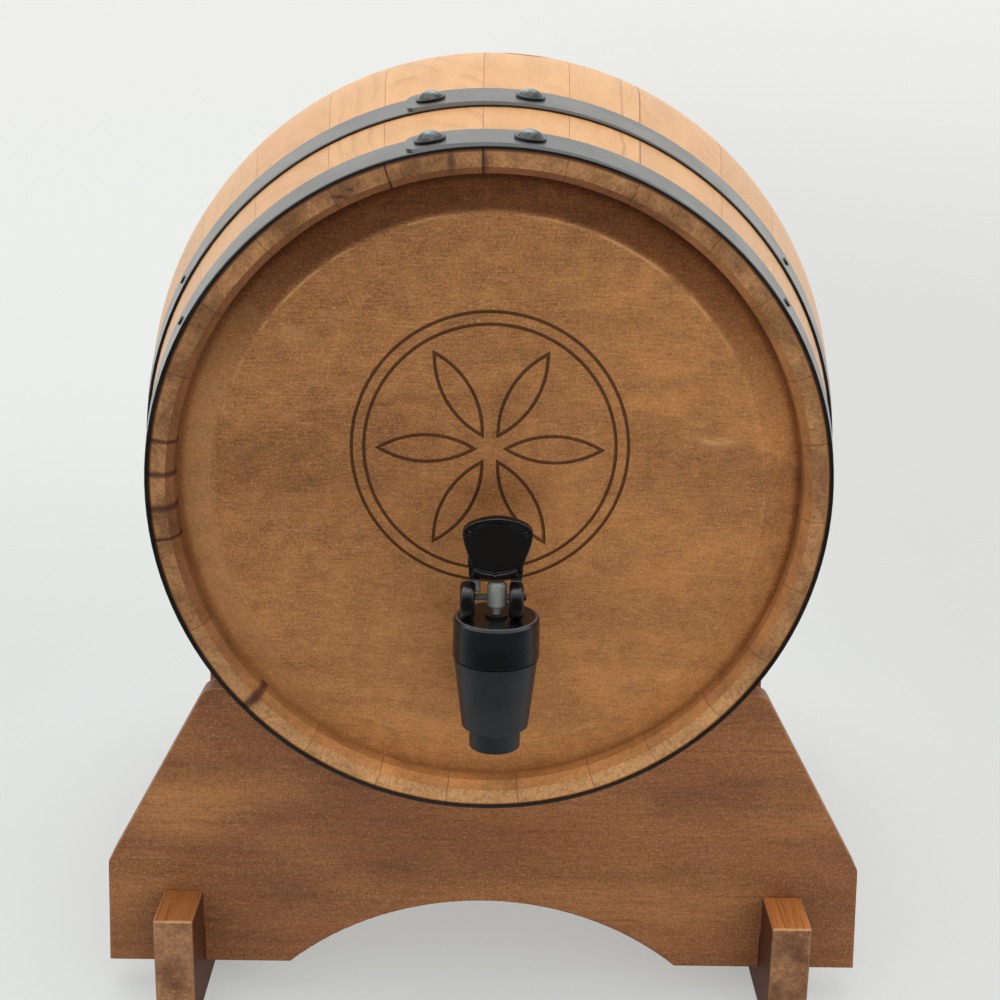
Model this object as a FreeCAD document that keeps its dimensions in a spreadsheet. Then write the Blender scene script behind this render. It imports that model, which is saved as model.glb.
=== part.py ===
import FreeCAD, Part
import math
import os
import re
import Sketcher

# Oak cask with a lever tap, lying in a cradle stand of two boards and two rails.
# Millimetres. The floor is z = 0, the cask lies along Y with its tap end at -Y, and x = 0 is
# the middle plane. Angles round the cask are clockwise from its top, seen from the tap end.

SIZES = [
    # cask shell
    ("cask_length", 306),
    ("end_radius", 109),
    ("taper_angle", 10.6),
    ("cone_length", 110),
    ("stave_thickness", 10),
    ("dry_gap", 0.1),
    ("cut_over", 1),
    ("chime_flat", 4.6),
    ("chime_outer_chamfer", 0.9),
    ("chime_bevel_width", 2.2),
    ("chime_bevel_depth", 3.5),
    ("croze_depth", 9),
    ("croze_width", 4.2),
    ("croze_cut", 2.8),
    # heads
    ("head_face_depth", 6),
    ("head_thickness", 12),
    ("head_face_radius", 89),
    ("head_edge_width", 4),
    ("head_clearance", 0.1),
    # turned and carved ornament of the front head
    ("carving_depth", 0.7),
    ("carving_line", 1.1),
    ("inner_ring_radius", 41),
    ("outer_ring_radius", 45),
    ("petal_start_radius", 4),
    ("petal_length", 33),
    ("petal_arc_radius", 30),
    ("petal_tip_share", 2),
    ("carving_height", 14),
    # hoops and their fixings
    ("hoop_thickness", 1),
    ("hoop_clearance", 0.05),
    ("end_hoop_width", 15.6),
    ("quarter_hoop_start", 51),
    ("quarter_hoop_width", 18.2),
    ("lap_start_angle", -13.5),
    ("lap_angle", 50),
    ("strip_corner", 4),
    ("left_rivet_angle", -10.1),
    ("right_rivet_angle", 5.6),
    ("rivet_dome_radius", 4.3),
    ("rivet_dome_height", 2.2),
    ("rivet_shank_radius", 1.8),
    ("rivet_rim_radius", 5),
    ("rivet_rim_height", 0.7),
    ("rivet_clearance", 0.05),
    ("fixing_hole_reach", 3),
    ("left_nail_angle", -61.2),
    ("right_nail_angle", 56),
    ("nail_head_radius", 1.5),
    ("nail_head_height", 0.5),
    ("nail_shank_radius", 0.7),
    ("nail_length", 6),
    # bung
    ("bung_radius", 9),
    ("bung_taper_angle", 4),
    ("bung_length", 12),
    ("bung_inset", 0.6),
    ("bung_clearance", 0.05),
    ("bung_eased_edge", 0.4),
    # tap
    ("tap_offset", 22),
    ("tap_drop", 76.1),
    ("tap_side_shift", 2.8),
    ("nozzle_radius", 8.1),
    ("nozzle_length", 5.3),
    ("outlet_radius", 5),
    ("valve_foot_radius", 10.6),
    ("valve_foot_rise", 2),
    ("valve_rim_radius", 13.2),
    ("valve_rim_height", 30),
    ("chamber_radius", 8.4),
    ("chamber_floor_height", 9),
    ("seat_rib_height", 1.2),
    ("seat_rib_width", 1.2),
    ("valve_neck_radius", 11),
    ("shank_height", 17.1),
    ("shank_radius", 8),
    ("shank_bore_radius", 5),
    ("shank_tail", 14),
    ("flange_radius", 12),
    ("flange_thickness", 2.5),
    ("bonnet_radius", 13.7),
    ("bonnet_height", 13.2),
    ("bonnet_gap", 0.4),
    ("bonnet_top_thickness", 4),
    ("bonnet_edge", 0.8),
    ("thread_clearance", 0.1),
    ("guide_radius", 3.6),
    ("guide_height", 0.8),
    ("washer_radius", 12.5),
    ("washer_thickness", 2),
    ("washer_clearance", 0.3),
    ("nut_flats", 24),
    ("nut_thickness", 7),
    # lever and valve stem
    ("stem_radius", 1.3),
    ("stem_clearance", 0.08),
    ("knob_radius", 3.1),
    ("knob_height", 8.4),
    ("knob_round", 0.9),
    ("knob_below_pin", 3.2),
    ("button_radius", 2.8),
    ("button_height", 2.5),
    ("cup_radius", 7),
    ("cup_base", 2),
    ("cup_wall_radius", 4.6),
    ("cup_flange_radius", 10.5),
    ("cup_flange_thickness", 1.5),
    ("pin_radius", 1),
    ("pin_clearance", 0.06),
    ("pin_grip_gap", 0.02),
    ("pin_end_inset", 0.2),
    ("cam_radius", 6),
    ("cam_offset", 3),
    ("cam_gap", 0.2),
    ("cheek_inner", 5),
    ("cheek_thickness", 4.4),
    ("arm_width", 6),
    ("arm_thickness", 3),
    ("lip_height", 2.6),
    ("lip_depth", 5.6),
    ("paddle_lean", 14),
    ("paddle_thickness", 2.8),
    ("paddle_foot_width", 16.6),
    ("paddle_foot_height", 6.4),
    ("paddle_width", 21.6),
    ("paddle_shoulder", 16.6),
    ("paddle_side_radius", 61),
    ("paddle_crown", 19.4),
    ("paddle_crown_width", 18),
    ("paddle_corner_radius", 4.5),
    ("paddle_top_radius", 16),
    # stand
    ("axis_height", 204),
    ("board_inset", 35),
    ("board_thickness", 11),
    ("board_lift", 11.9),
    ("board_half_width", 138.6),
    ("board_side_lean", 1.4),
    ("board_side_height", 52.5),
    ("arm_half_width", 99.8),
    ("arm_drop", 83),
    ("arm_corner", 5),
    ("side_corner", 5),
    ("cradle_gap", 0.3),
    ("arch_half_width", 71.5),
    ("arch_rise", 26.2),
    ("rail_side_inset", 28.5),
    ("rail_width", 14.3),
    ("rail_height", 41.5),
    ("rail_inset", 12.8),
    ("lap_clearance", 0.25),
    ("eased_edge", 1.2),
]

# Joints between staves, in degrees clockwise from the top. Cooper's staves are of random width.
SEAMS = [-1.8, 12, 24, 40, 53, 68, 80, 94, 107, 121, 134, 148, 160, 174, 187, 200, 214, 227.3, 244,
         261.2, 266.8, 272.9, 278.9, 291, 304, 318, 332.5, 342.2]
BUNG_STAVE = 0
PETALS = 6

doc = FreeCAD.newDocument("oak_cask_dispenser")
sheet = doc.addObject("Spreadsheet::Sheet", "sizes")
for row, (alias, value) in enumerate(SIZES, start=1):
    sheet.set("A%d" % row, alias)
    sheet.set("B%d" % row, str(value))
    sheet.setAlias("B%d" % row, alias)
for row, angle in enumerate(SEAMS, start=1):
    sheet.set("D%d" % row, str(angle))
    sheet.setAlias("D%d" % row, "seam_%02d" % row)
doc.recompute()

ALIASES = {alias for alias, _ in SIZES} | {"seam_%02d" % row for row in range(1, len(SEAMS) + 1)}


def bound(text):
    """An expression in which every size name is looked up in the sheet."""
    def lookup(word):
        return "sizes." + word.group() if word.group() in ALIASES else word.group()
    return re.sub(r"[a-z_]+[a-z0-9_]*", lookup, text)


def size(text):
    """The present value of an expression, for starting shapes and placements."""
    return float(sheet.evalExpression(bound(text)))


# ---------------------------------------------------------------- derived sizes, as expressions

HALF_LENGTH = "(cask_length / 2)"
TAP_REACH = "(tap_offset + bonnet_radius)"
CASK_FRONT = "(-(cask_length - %s) / 2)" % TAP_REACH
BEND_RADIUS = "((%s - cone_length) / sin(taper_angle))" % HALF_LENGTH
BELLY_RADIUS = "(end_radius + cone_length * tan(taper_angle) + %s * (1 - cos(taper_angle)))" % BEND_RADIUS
CROZE_RADIUS = "(end_radius - chime_flat - chime_outer_chamfer - chime_bevel_width + croze_cut)"
CHIME_INNER = "(end_radius - chime_flat - chime_outer_chamfer)"
CHIME_WALL = "(%s - chime_bevel_width)" % CHIME_INNER
BONNET_TOP = "(valve_rim_height + bonnet_gap + bonnet_height)"
NECK_TOP = "(%s - bonnet_top_thickness - cup_flange_thickness)" % BONNET_TOP
PIN_HEIGHT = "(%s + cam_gap + cam_radius)" % BONNET_TOP
TAP_Y = "(%s - tap_offset)" % CASK_FRONT
TAP_Z = "(axis_height - tap_drop)"
FACE_Y = "(%s + head_face_depth)" % CASK_FRONT
HEAD_BACK_Y = "(%s + head_thickness)" % FACE_Y
BUNG_ANGLE = "((seam_01 + seam_02) / 2)"
BUNG_SEAT = "(%s - bung_inset)" % BELLY_RADIUS
ARM_HEIGHT = "(axis_height - arm_drop)"
SIDE_X = "(board_half_width - board_side_lean)"
RAIL_X = "(board_half_width - rail_side_inset)"


def shell_radius(at):
    """Outer radius of the staves at a distance from the nearer end, on the straight stretch."""
    return "(end_radius + (%s) * tan(taper_angle))" % at


# ---------------------------------------------------------------- sketch and body helpers

def new_body(name):
    body = doc.addObject("PartDesign::Body", name)
    body.Label = name
    return body


def place(thing, x="0", y="0", z="0", turn="0", axis=(0, 1, 0)):
    """Ties the place of a sub-part, and its turn about an axis, to the sheet."""
    base = "create(<<vector>>; %s; %s; %s)" % (x, y, z)
    spin = "create(<<rotation>>; create(<<vector>>; %d; %d; %d); %s)" % (*axis, turn)
    thing.setExpression("Placement", bound("create(<<placement>>; %s; %s)" % (base, spin)))


def place_on_cask(thing, angle="0", lean="0", y="0", radius="0"):
    """Ties a part whose Z axis points out of the cask at an angle, leaning along the cask."""
    x_at = "(%s) * sin(%s)" % (radius, angle)
    z_at = "(%s) * cos(%s)" % (radius, angle)
    base = "create(<<vector>>; %s; %s; %s)" % (x_at, y, z_at)
    about_y = "create(<<rotation>>; create(<<vector>>; 0; 1; 0); %s)" % angle
    about_x = "create(<<rotation>>; create(<<vector>>; 1; 0; 0); %s)" % lean
    text = "create(<<placement>>; %s; %s * %s)" % (base, about_y, about_x)
    thing.setExpression("Placement", bound(text))


def new_sketch(body, name, plane, lift="0", tilt="0", rise="0"):
    """A sketch on one of the body's own planes, lifted off it, tilted about X, or moved up it."""
    sketch = body.newObject("Sketcher::SketchObject", name)
    support = [item for item in body.Origin.OriginFeatures if item.Role == plane][0]
    sketch.AttachmentSupport = [(support, "")]
    sketch.MapMode = "FlatFace"
    if (lift, tilt, rise) != ("0", "0", "0"):
        spin = "create(<<rotation>>; create(<<vector>>; 1; 0; 0); %s)" % tilt
        text = "create(<<placement>>; create(<<vector>>; 0; %s; %s); %s)" % (rise, lift, spin)
        sketch.setExpression("AttachmentOffset", bound(text))
    return sketch


def pin_point(sketch, edge, end, x_text, y_text):
    """Ties one point of a sketch to expressions of the sheet."""
    for kind, axis, text in (("DistanceX", -2, x_text), ("DistanceY", -1, y_text)):
        if text == "0":
            sketch.addConstraint(Sketcher.Constraint("PointOnObject", edge, end, axis))
        else:
            index = sketch.addConstraint(Sketcher.Constraint(kind, -1, 1, edge, end, size(text)))
            sketch.setExpression("Constraints[%d]" % index, bound(text))


def arc_between(start, finish, radius):
    """An arc under half a turn; a positive radius bends to the left on the way."""
    middle = (start + finish) * 0.5
    chord = finish - start
    reach = math.sqrt(max(radius * radius - chord.Length ** 2 / 4, 0))
    side = FreeCAD.Vector(-chord.y, chord.x, 0).normalize()
    centre = middle + side * (reach if radius > 0 else -reach)
    circle = Part.Circle(centre, FreeCAD.Vector(0, 0, 1), abs(radius))
    first, last = (start, finish) if radius > 0 else (finish, start)
    spans = [math.atan2(point.y - centre.y, point.x - centre.x) for point in (first, last)]
    return Part.ArcOfCircle(circle, spans[0], spans[1])


def draw_outline(sketch, corners):
    """A closed outline. A corner is (x, y), or (x, y, radius) where an arc leads to it."""
    points = [FreeCAD.Vector(size(corner[0]), size(corner[1]), 0) for corner in corners]
    edges = []
    for index, point in enumerate(points):
        following = (index + 1) % len(points)
        corner = corners[following]
        if len(corner) == 3:
            edge = sketch.addGeometry(arc_between(point, points[following], size(corner[2])), False)
            ends = (1, 2) if size(corner[2]) > 0 else (2, 1)
            tie = sketch.addConstraint(Sketcher.Constraint("Radius", edge, abs(size(corner[2]))))
            sketch.setExpression("Constraints[%d]" % tie, bound("abs(%s)" % corner[2]))
        else:
            edge = sketch.addGeometry(Part.LineSegment(point, points[following]), False)
            ends = (1, 2)
        edges.append((edge, ends))
    for index, (edge, ends) in enumerate(edges):
        before, before_ends = edges[index - 1]
        sketch.addConstraint(Sketcher.Constraint("Coincident", before, before_ends[1], edge, ends[0]))
        pin_point(sketch, edge, ends[0], corners[index][0], corners[index][1])


def draw_circle(sketch, x_text, y_text, radius_text):
    centre = FreeCAD.Vector(size(x_text), size(y_text), 0)
    circle = Part.Circle(centre, FreeCAD.Vector(0, 0, 1), size(radius_text))
    edge = sketch.addGeometry(circle, False)
    tie = sketch.addConstraint(Sketcher.Constraint("Radius", edge, size(radius_text)))
    sketch.setExpression("Constraints[%d]" % tie, bound(radius_text))
    pin_point(sketch, edge, 3, x_text, y_text)


def turned(body, name, sketch, angle="360", cut=False):
    """Turns a sketch about its vertical axis, to add or to cut."""
    kind = "PartDesign::Groove" if cut else "PartDesign::Revolution"
    feature = body.newObject(kind, name)
    feature.Profile = sketch
    feature.ReferenceAxis = (sketch, ["V_Axis"])
    feature.setExpression("Angle", bound(angle))
    sketch.Visibility = False
    return feature


def extruded(body, name, sketch, length, reverse=False, both_ways=False, cut=False):
    kind = "PartDesign::Pocket" if cut else "PartDesign::Pad"
    feature = body.newObject(kind, name)
    feature.Profile = sketch
    feature.setExpression("Length", bound(length))
    feature.Reversed = reverse
    feature.Midplane = both_ways
    return feature


def mirrored(body, name, originals, plane):
    """Repeats features on the other side of one of the body's planes."""
    feature = body.newObject("PartDesign::Mirrored", name)
    feature.Originals = originals
    support = [item for item in body.Origin.OriginFeatures if item.Role == plane][0]
    feature.MirrorPlane = (support, [""])
    body.Tip = feature
    return feature


def rounded(body, name, wanted, radius):
    """Fillets every edge of the body so far for which wanted(end points, middle) is true."""
    doc.recompute()
    base = body.Tip
    picked = []
    for index, edge in enumerate(base.Shape.Edges, start=1):
        ends = [vertex.Point for vertex in edge.Vertexes]
        middle = edge.valueAt((edge.FirstParameter + edge.LastParameter) / 2)
        if wanted(ends, middle):
            picked.append("Edge%d" % index)
    fillet = body.newObject("PartDesign::Fillet", name)
    fillet.Base = (base, picked)
    fillet.setExpression("Radius", bound(radius))
    body.Tip = fillet
    return fillet


def bored(body, name, radius, depth, angle, lean, y, out):
    """A round hole square to a leaning face of the cask, as deep as it stands out of the face."""
    hole = body.newObject("PartDesign::SubtractiveCylinder", name)
    hole.setExpression("Radius", bound(radius))
    hole.setExpression("Height", bound("2 * %s" % depth))
    y_at = "%s + %s * sin(%s)" % (y, depth, lean)
    place_on_cask(hole, angle, lean, y_at, "%s - %s * cos(%s)" % (out, depth, lean))


# ---------------------------------------------------------------- cask shell

def stave_profile(sketch):
    """Section of a stave: radius across, distance from the tap end along."""
    wall = " - stave_thickness"
    groove_end = "(croze_depth + croze_width)"
    outside = [
        (CHIME_INNER, "0"),
        ("end_radius - chime_outer_chamfer", "0"),
        (shell_radius("chime_outer_chamfer"), "chime_outer_chamfer"),
        (shell_radius("cone_length"), "cone_length"),
    ]
    inside = [
        (shell_radius("cone_length") + wall, "cone_length"),
        (shell_radius(groove_end) + wall, groove_end),
        (CROZE_RADIUS, groove_end),
        (CROZE_RADIUS, "croze_depth"),
        (CHIME_WALL, "croze_depth"),
        (CHIME_WALL, "chime_bevel_depth"),
    ]
    far_outside = [(x_text, "cask_length - " + y_text) for x_text, y_text in reversed(outside)]
    far_inside = [(x_text, "cask_length - " + y_text) for x_text, y_text in reversed(inside)]
    far_outside[0] += (BEND_RADIUS,)
    inside[0] += ("-" + BEND_RADIUS,)
    draw_outline(sketch, outside + far_outside + far_inside + inside)


def make_stave(index):
    name = "stave_%02d" % (index + 1)
    body = new_body(name)
    sketch = new_sketch(body, name + "_section", "XY_Plane")
    stave_profile(sketch)
    start = "seam_%02d" % (index + 1)
    end = "seam_%02d" % (index + 2) if index + 1 < len(SEAMS) else "(seam_01 + 360)"
    gap_angle = "(dry_gap / end_radius * 180 / pi)"
    width = "(%s - %s - %s)" % (end, start, gap_angle)
    turned(body, name + "_shell", sketch, width)
    if index == BUNG_STAVE:
        hole = body.newObject("PartDesign::SubtractiveCone", "bung_hole")
        drop = "(bung_length + cut_over)"
        rise = "(bung_inset + cut_over)"
        fit = "bung_radius + bung_clearance"
        hole.setExpression("Height", bound("%s + %s" % (drop, rise)))
        hole.setExpression("Radius2", bound("%s + %s * tan(bung_taper_angle)" % (fit, rise)))
        hole.setExpression("Radius1", bound("%s - %s * tan(bung_taper_angle)" % (fit, drop)))
        radius = "(%s - %s)" % (BUNG_SEAT, drop)
        turn = "(90 + %s / 2)" % width
        place_on_cask(hole, turn, "0", HALF_LENGTH, radius)
    place(body, "0", CASK_FRONT, "axis_height", "(%s - 90 + %s / 2)" % (start, gap_angle))
    return body


def head_profile(sketch, sign):
    """Half section of a head: radius across, depth from the outer end of the cask along."""
    edge_radius = "(%s - head_clearance)" % CROZE_RADIUS
    edge_front = "(croze_depth + head_clearance)"
    edge_back = "(%s + head_edge_width)" % edge_front
    inner_radius = "(%s - stave_thickness - head_clearance)" % shell_radius("croze_depth")
    back = "head_face_depth + head_thickness"
    slope = "(%s - head_clearance * 2)" % CHIME_WALL
    draw_outline(sketch, [
        ("0", sign + "(head_face_depth)"),
        ("head_face_radius", sign + "(head_face_depth)"),
        (slope, sign + edge_front),
        (edge_radius, sign + edge_front),
        (edge_radius, sign + edge_back),
        (inner_radius, sign + edge_back),
        (inner_radius, sign + "(%s)" % back),
        ("0", sign + "(%s)" % back),
    ])


def petal_corners(inset):
    """A leaf-shaped outline of two arcs along the sketch's X axis, moved inwards by a width."""
    tip_shift = "(%s * petal_tip_share)" % inset
    start = "(petal_start_radius + %s)" % tip_shift
    end = "(petal_start_radius + petal_length - %s)" % tip_shift
    half = "(petal_length / 2 - %s)" % tip_shift
    outer_sag = "(petal_arc_radius - sqrt(petal_arc_radius ^ 2 - (petal_length / 2) ^ 2))"
    sag = "(%s - %s)" % (outer_sag, inset)
    bend = "((%s ^ 2 + %s ^ 2) / (2 * %s))" % (half, sag, sag)
    return [(start, "0", bend), (end, "0", bend)]


def make_front_head():
    body = new_body("front_head")
    sketch = new_sketch(body, "front_head_section", "XY_Plane")
    head_profile(sketch, "")
    turned(body, "front_head_disc", sketch)

    # The XZ plane faces -Y, out of the head towards the tap.
    rings = new_sketch(body, "ring_lines", "XZ_Plane", "-head_face_depth", rise="carving_height")
    for radius in ("inner_ring_radius", "outer_ring_radius"):
        draw_circle(rings, "0", "0", radius)
        draw_circle(rings, "0", "0", "%s - carving_line" % radius)
    extruded(body, "ring_grooves", rings, "carving_depth", cut=True)
    petal = new_sketch(body, "petal_line", "XZ_Plane", "-head_face_depth", rise="carving_height")
    draw_outline(petal, petal_corners("0"))
    draw_outline(petal, petal_corners("carving_line"))
    first = extruded(body, "petal_groove", petal, "carving_depth", cut=True)
    doc.recompute()
    petals = body.newObject("PartDesign::PolarPattern", "petals")
    petals.Originals = [first]
    petals.Axis = (petal, ["N_Axis"])
    petals.Angle = 360
    petals.Occurrences = PETALS
    body.Tip = petals

    hole = new_sketch(body, "tap_hole_line", "XZ_Plane", "-head_face_depth")
    draw_circle(hole, "tap_side_shift", "shank_height - tap_drop", "shank_radius + washer_clearance")
    extruded(body, "tap_hole", hole, "head_thickness", cut=True)
    place(body, "0", CASK_FRONT, "axis_height")
    return body


def make_rear_head():
    body = new_body("rear_head")
    sketch = new_sketch(body, "rear_head_section", "XY_Plane")
    head_profile(sketch, "-")
    turned(body, "rear_head_disc", sketch)
    place(body, "0", CASK_FRONT + " + cask_length", "axis_height")
    return body


# ---------------------------------------------------------------- hoops, rivets and nails

HOOPS = {
    "front_end_hoop": ("0", "end_hoop_width", False),
    "front_quarter_hoop": ("quarter_hoop_start", "quarter_hoop_width", False),
    "rear_quarter_hoop": ("quarter_hoop_start", "quarter_hoop_width", True),
    "rear_end_hoop": ("0", "end_hoop_width", True),
}
HOOP_SEAT = "hoop_clearance / cos(taper_angle)"
HOOP_WALL = "hoop_thickness / cos(taper_angle)"


def hoop_band(start, width, from_rear):
    """Section of a conical band round the staves."""
    ends = [start, "(%s + %s)" % (start, width)]
    along = ["cask_length - " + end if from_rear else end for end in ends]
    low = [shell_radius(end) + " + " + HOOP_SEAT for end in ends]
    return [
        (low[0], along[0]),
        (low[0] + " + " + HOOP_WALL, along[0]),
        (low[1] + " + " + HOOP_WALL, along[1]),
        (low[1], along[1]),
    ]


def hoop_face(along):
    """Radius of a hoop's outer face at a distance from the cask's nearer end."""
    return "(%s + (hoop_clearance + hoop_thickness) / cos(taper_angle))" % shell_radius(along)


def make_hoop(name):
    """A riveted band: a full ring, and the outer end of the strip lapped over it.

    The lap is turned about an axis off the cask's own, so that it lies on the ring at its end
    and has sunk into the ring where the lap is over.
    """
    start, width, from_rear = HOOPS[name]
    body = new_body(name)
    lap = new_sketch(body, name + "_lap_section", "XY_Plane")
    draw_outline(lap, hoop_band(start, width, from_rear))
    spin = "create(<<rotation>>; create(<<vector>>; 0; 1; 0); lap_start_angle - 90)"
    aside = "(lap_start_angle + lap_angle - 90)"
    away = "(%s / sin(lap_angle))" % HOOP_WALL
    shift = "create(<<vector>>; %s * sin(%s); 0; %s * cos(%s))" % (away, aside, away, aside)
    lap.setExpression("AttachmentOffset", bound("create(<<placement>>; %s; %s)" % (shift, spin)))
    turned(body, name + "_lap", lap, "lap_angle")

    def strip_corner(ends, middle):
        through = ends[0].distanceToPoint(ends[-1]) < size("hoop_thickness") * 2
        at_start = middle.x < 0
        return through and at_start

    rounded(body, name + "_strip_end", strip_corner, "strip_corner")
    ring = new_sketch(body, name + "_section", "XY_Plane")
    draw_outline(ring, hoop_band(start, width, from_rear))
    turned(body, name + "_ring", ring)
    lean = "-taper_angle" if from_rear else "taper_angle"
    middle = "(%s + %s / 2)" % (start, width)
    along = "cask_length - " + middle if from_rear else middle
    face = hoop_face(middle)
    for side in ("left", "right"):
        bored(body, "%s_%s_rivet_hole" % (name, side), "rivet_shank_radius + rivet_clearance",
              "fixing_hole_reach", side + "_rivet_angle", lean, along, face)
        bored(body, "%s_%s_nail_hole" % (name, side), "nail_shank_radius + rivet_clearance",
              "fixing_hole_reach", side + "_nail_angle", lean, along, face)
    place(body, "0", CASK_FRONT, "axis_height")
    return body


def lap_rise(angle):
    """How far the lap stands off the ring at an angle, square to the hoop."""
    return "(hoop_thickness * cos(%s - lap_start_angle + 90 - lap_angle) / sin(lap_angle))" % angle


def on_hoops(shape, angles, lap):
    """Copies of a shape whose Z axis points out, at each angle on every hoop or on its lap."""
    copies = []
    for start, width, from_rear in HOOPS.values():
        middle = "(%s + %s / 2)" % (start, width)
        lean = size("taper_angle") * (-1 if from_rear else 1)
        along = size("cask_length - " + middle if from_rear else middle)
        for angle in angles:
            lift = size("rivet_clearance" + (" + " + lap_rise(angle) if lap else ""))
            turn = FreeCAD.Rotation(FreeCAD.Vector(0, 1, 0), size(angle))
            tip = FreeCAD.Rotation(FreeCAD.Vector(1, 0, 0), lean)
            out = turn.multVec(FreeCAD.Vector(0, along, size(hoop_face(middle))))
            lifted = (turn * tip).multVec(FreeCAD.Vector(0, 0, lift))
            base = FreeCAD.Vector(0, size(CASK_FRONT), size("axis_height")) + out + lifted
            copies.append(shape.transformed(FreeCAD.Placement(base, turn * tip).toMatrix()))
    return Part.makeCompound(copies)


def add_group(name, shape):
    group = doc.addObject("Part::Feature", name)
    group.Label = name
    group.Shape = shape
    return group


def make_rivets():
    """Dome-headed rivets: head, and shank through the two layers of each lap."""
    radius, height = size("rivet_dome_radius"), size("rivet_dome_height")
    ball = (radius * radius + height * height) / (2 * height)
    rim = size("rivet_rim_height")
    dome = Part.makeSphere(ball, FreeCAD.Vector(0, 0, rim + height - ball))
    trim = Part.makeCylinder(radius * 2, height * 2, FreeCAD.Vector(0, 0, rim))
    depth = size("hoop_thickness + %s" % lap_rise("right_rivet_angle"))
    shank = Part.makeCylinder(size("rivet_shank_radius"), depth + rim, FreeCAD.Vector(0, 0, -depth))
    rivet = dome.common(trim).fuse(shank).removeSplitter()
    angles = ("left_rivet_angle", "right_rivet_angle")
    add_group("hoop_rivets", on_hoops(rivet, angles, True))
    ring = Part.makeCylinder(size("rivet_rim_radius"), rim)
    bore = Part.makeCylinder(size("rivet_shank_radius") + size("rivet_clearance"), rim)
    add_group("rivet_washers", on_hoops(ring.cut(bore), angles, True))


def make_nails():
    """Tacks that hold the hoops to the staves: a flat head and a round shank."""
    head = Part.makeCylinder(size("nail_head_radius"), size("nail_head_height"))
    shank = Part.makeCylinder(
        size("nail_shank_radius"), size("nail_length"), FreeCAD.Vector(0, 0, -size("nail_length")))
    nail = head.fuse(shank).removeSplitter()
    angles = ("left_nail_angle", "right_nail_angle")
    add_group("hoop_nails", on_hoops(nail, angles, False))


# ---------------------------------------------------------------- bung

def make_bung():
    """Tapered oak plug, driven in a little below the belly's surface."""
    body = new_body("bung")
    sketch = new_sketch(body, "bung_section", "XZ_Plane")
    draw_outline(sketch, [
        ("0", "0"),
        ("bung_radius - bung_eased_edge", "0"),
        ("bung_radius - bung_eased_edge * tan(bung_taper_angle)", "-bung_eased_edge"),
        ("bung_radius - bung_length * tan(bung_taper_angle)", "-bung_length"),
        ("0", "-bung_length"),
    ])
    turned(body, "bung_plug", sketch)
    x_at = "%s * sin(%s)" % (BUNG_SEAT, BUNG_ANGLE)
    z_at = "axis_height + %s * cos(%s)" % (BUNG_SEAT, BUNG_ANGLE)
    place(body, x_at, CASK_FRONT + " + " + HALF_LENGTH, z_at, BUNG_ANGLE)
    return body


# ---------------------------------------------------------------- tap

def make_valve_body():
    """Conical valve body with its nozzle, and the shank that goes through the head."""
    body = new_body("valve_body")
    sketch = new_sketch(body, "valve_section", "XZ_Plane")
    draw_outline(sketch, [
        ("0", "0"),
        ("nozzle_radius", "0"),
        ("nozzle_radius", "nozzle_length"),
        ("valve_foot_radius", "nozzle_length + valve_foot_rise"),
        ("valve_rim_radius", "valve_rim_height"),
        ("valve_neck_radius", "valve_rim_height"),
        ("valve_neck_radius", NECK_TOP),
        ("0", NECK_TOP),
    ])
    turned(body, "valve_cone", sketch)

    shank_end = "(tap_offset + head_face_depth + head_thickness + shank_tail)"
    shank = new_sketch(body, "shank_circle", "XZ_Plane")
    draw_circle(shank, "0", "shank_height", "shank_radius")
    extruded(body, "shank", shank, shank_end, reverse=True)
    flange_back = "(tap_offset + head_face_depth - washer_thickness)"
    flange = new_sketch(body, "flange_circle", "XZ_Plane", "-" + flange_back)
    draw_circle(flange, "0", "shank_height", "flange_radius")
    extruded(body, "flange", flange, "flange_thickness")

    chamber = new_sketch(body, "chamber_section", "XZ_Plane")
    rib_inner = "outlet_radius"
    rib_outer = "(outlet_radius + seat_rib_width)"
    floor = "chamber_floor_height"
    draw_outline(chamber, [
        ("0", "-cut_over"),
        (rib_inner, "-cut_over"),
        (rib_inner, floor + " + seat_rib_height"),
        (rib_outer, floor + " + seat_rib_height"),
        (rib_outer, floor),
        ("chamber_radius", floor),
        ("chamber_radius", NECK_TOP + " + cut_over"),
        ("0", NECK_TOP + " + cut_over"),
    ])
    turned(body, "chamber", chamber, cut=True)
    bore = new_sketch(body, "shank_bore_circle", "XZ_Plane")
    draw_circle(bore, "0", "shank_height", "shank_bore_radius")
    extruded(body, "shank_bore", bore, shank_end + " + cut_over", cut=True)
    place(body, "tap_side_shift", TAP_Y, TAP_Z)
    return body


def make_bonnet():
    """Screw cap over the valve, with a raised guide round the stem."""
    body = new_body("bonnet")
    base = "(valve_rim_height + bonnet_gap)"
    top = BONNET_TOP
    inside = "(valve_neck_radius + thread_clearance)"
    hole = "(stem_radius + stem_clearance)"
    sketch = new_sketch(body, "bonnet_section", "XZ_Plane")
    draw_outline(sketch, [
        (inside, base),
        ("bonnet_radius - bonnet_edge / 2", base),
        ("bonnet_radius", base + " + bonnet_edge / 2"),
        ("bonnet_radius - bonnet_edge / 4", top + " - bonnet_edge"),
        ("bonnet_radius - bonnet_edge", top),
        ("guide_radius", top),
        ("guide_radius", top + " + guide_height"),
        (hole, top + " + guide_height"),
        (hole, top + " - bonnet_top_thickness"),
        (inside, top + " - bonnet_top_thickness"),
    ])
    turned(body, "bonnet_cap", sketch)
    place(body, "tap_side_shift", TAP_Y, TAP_Z)
    return body


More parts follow.
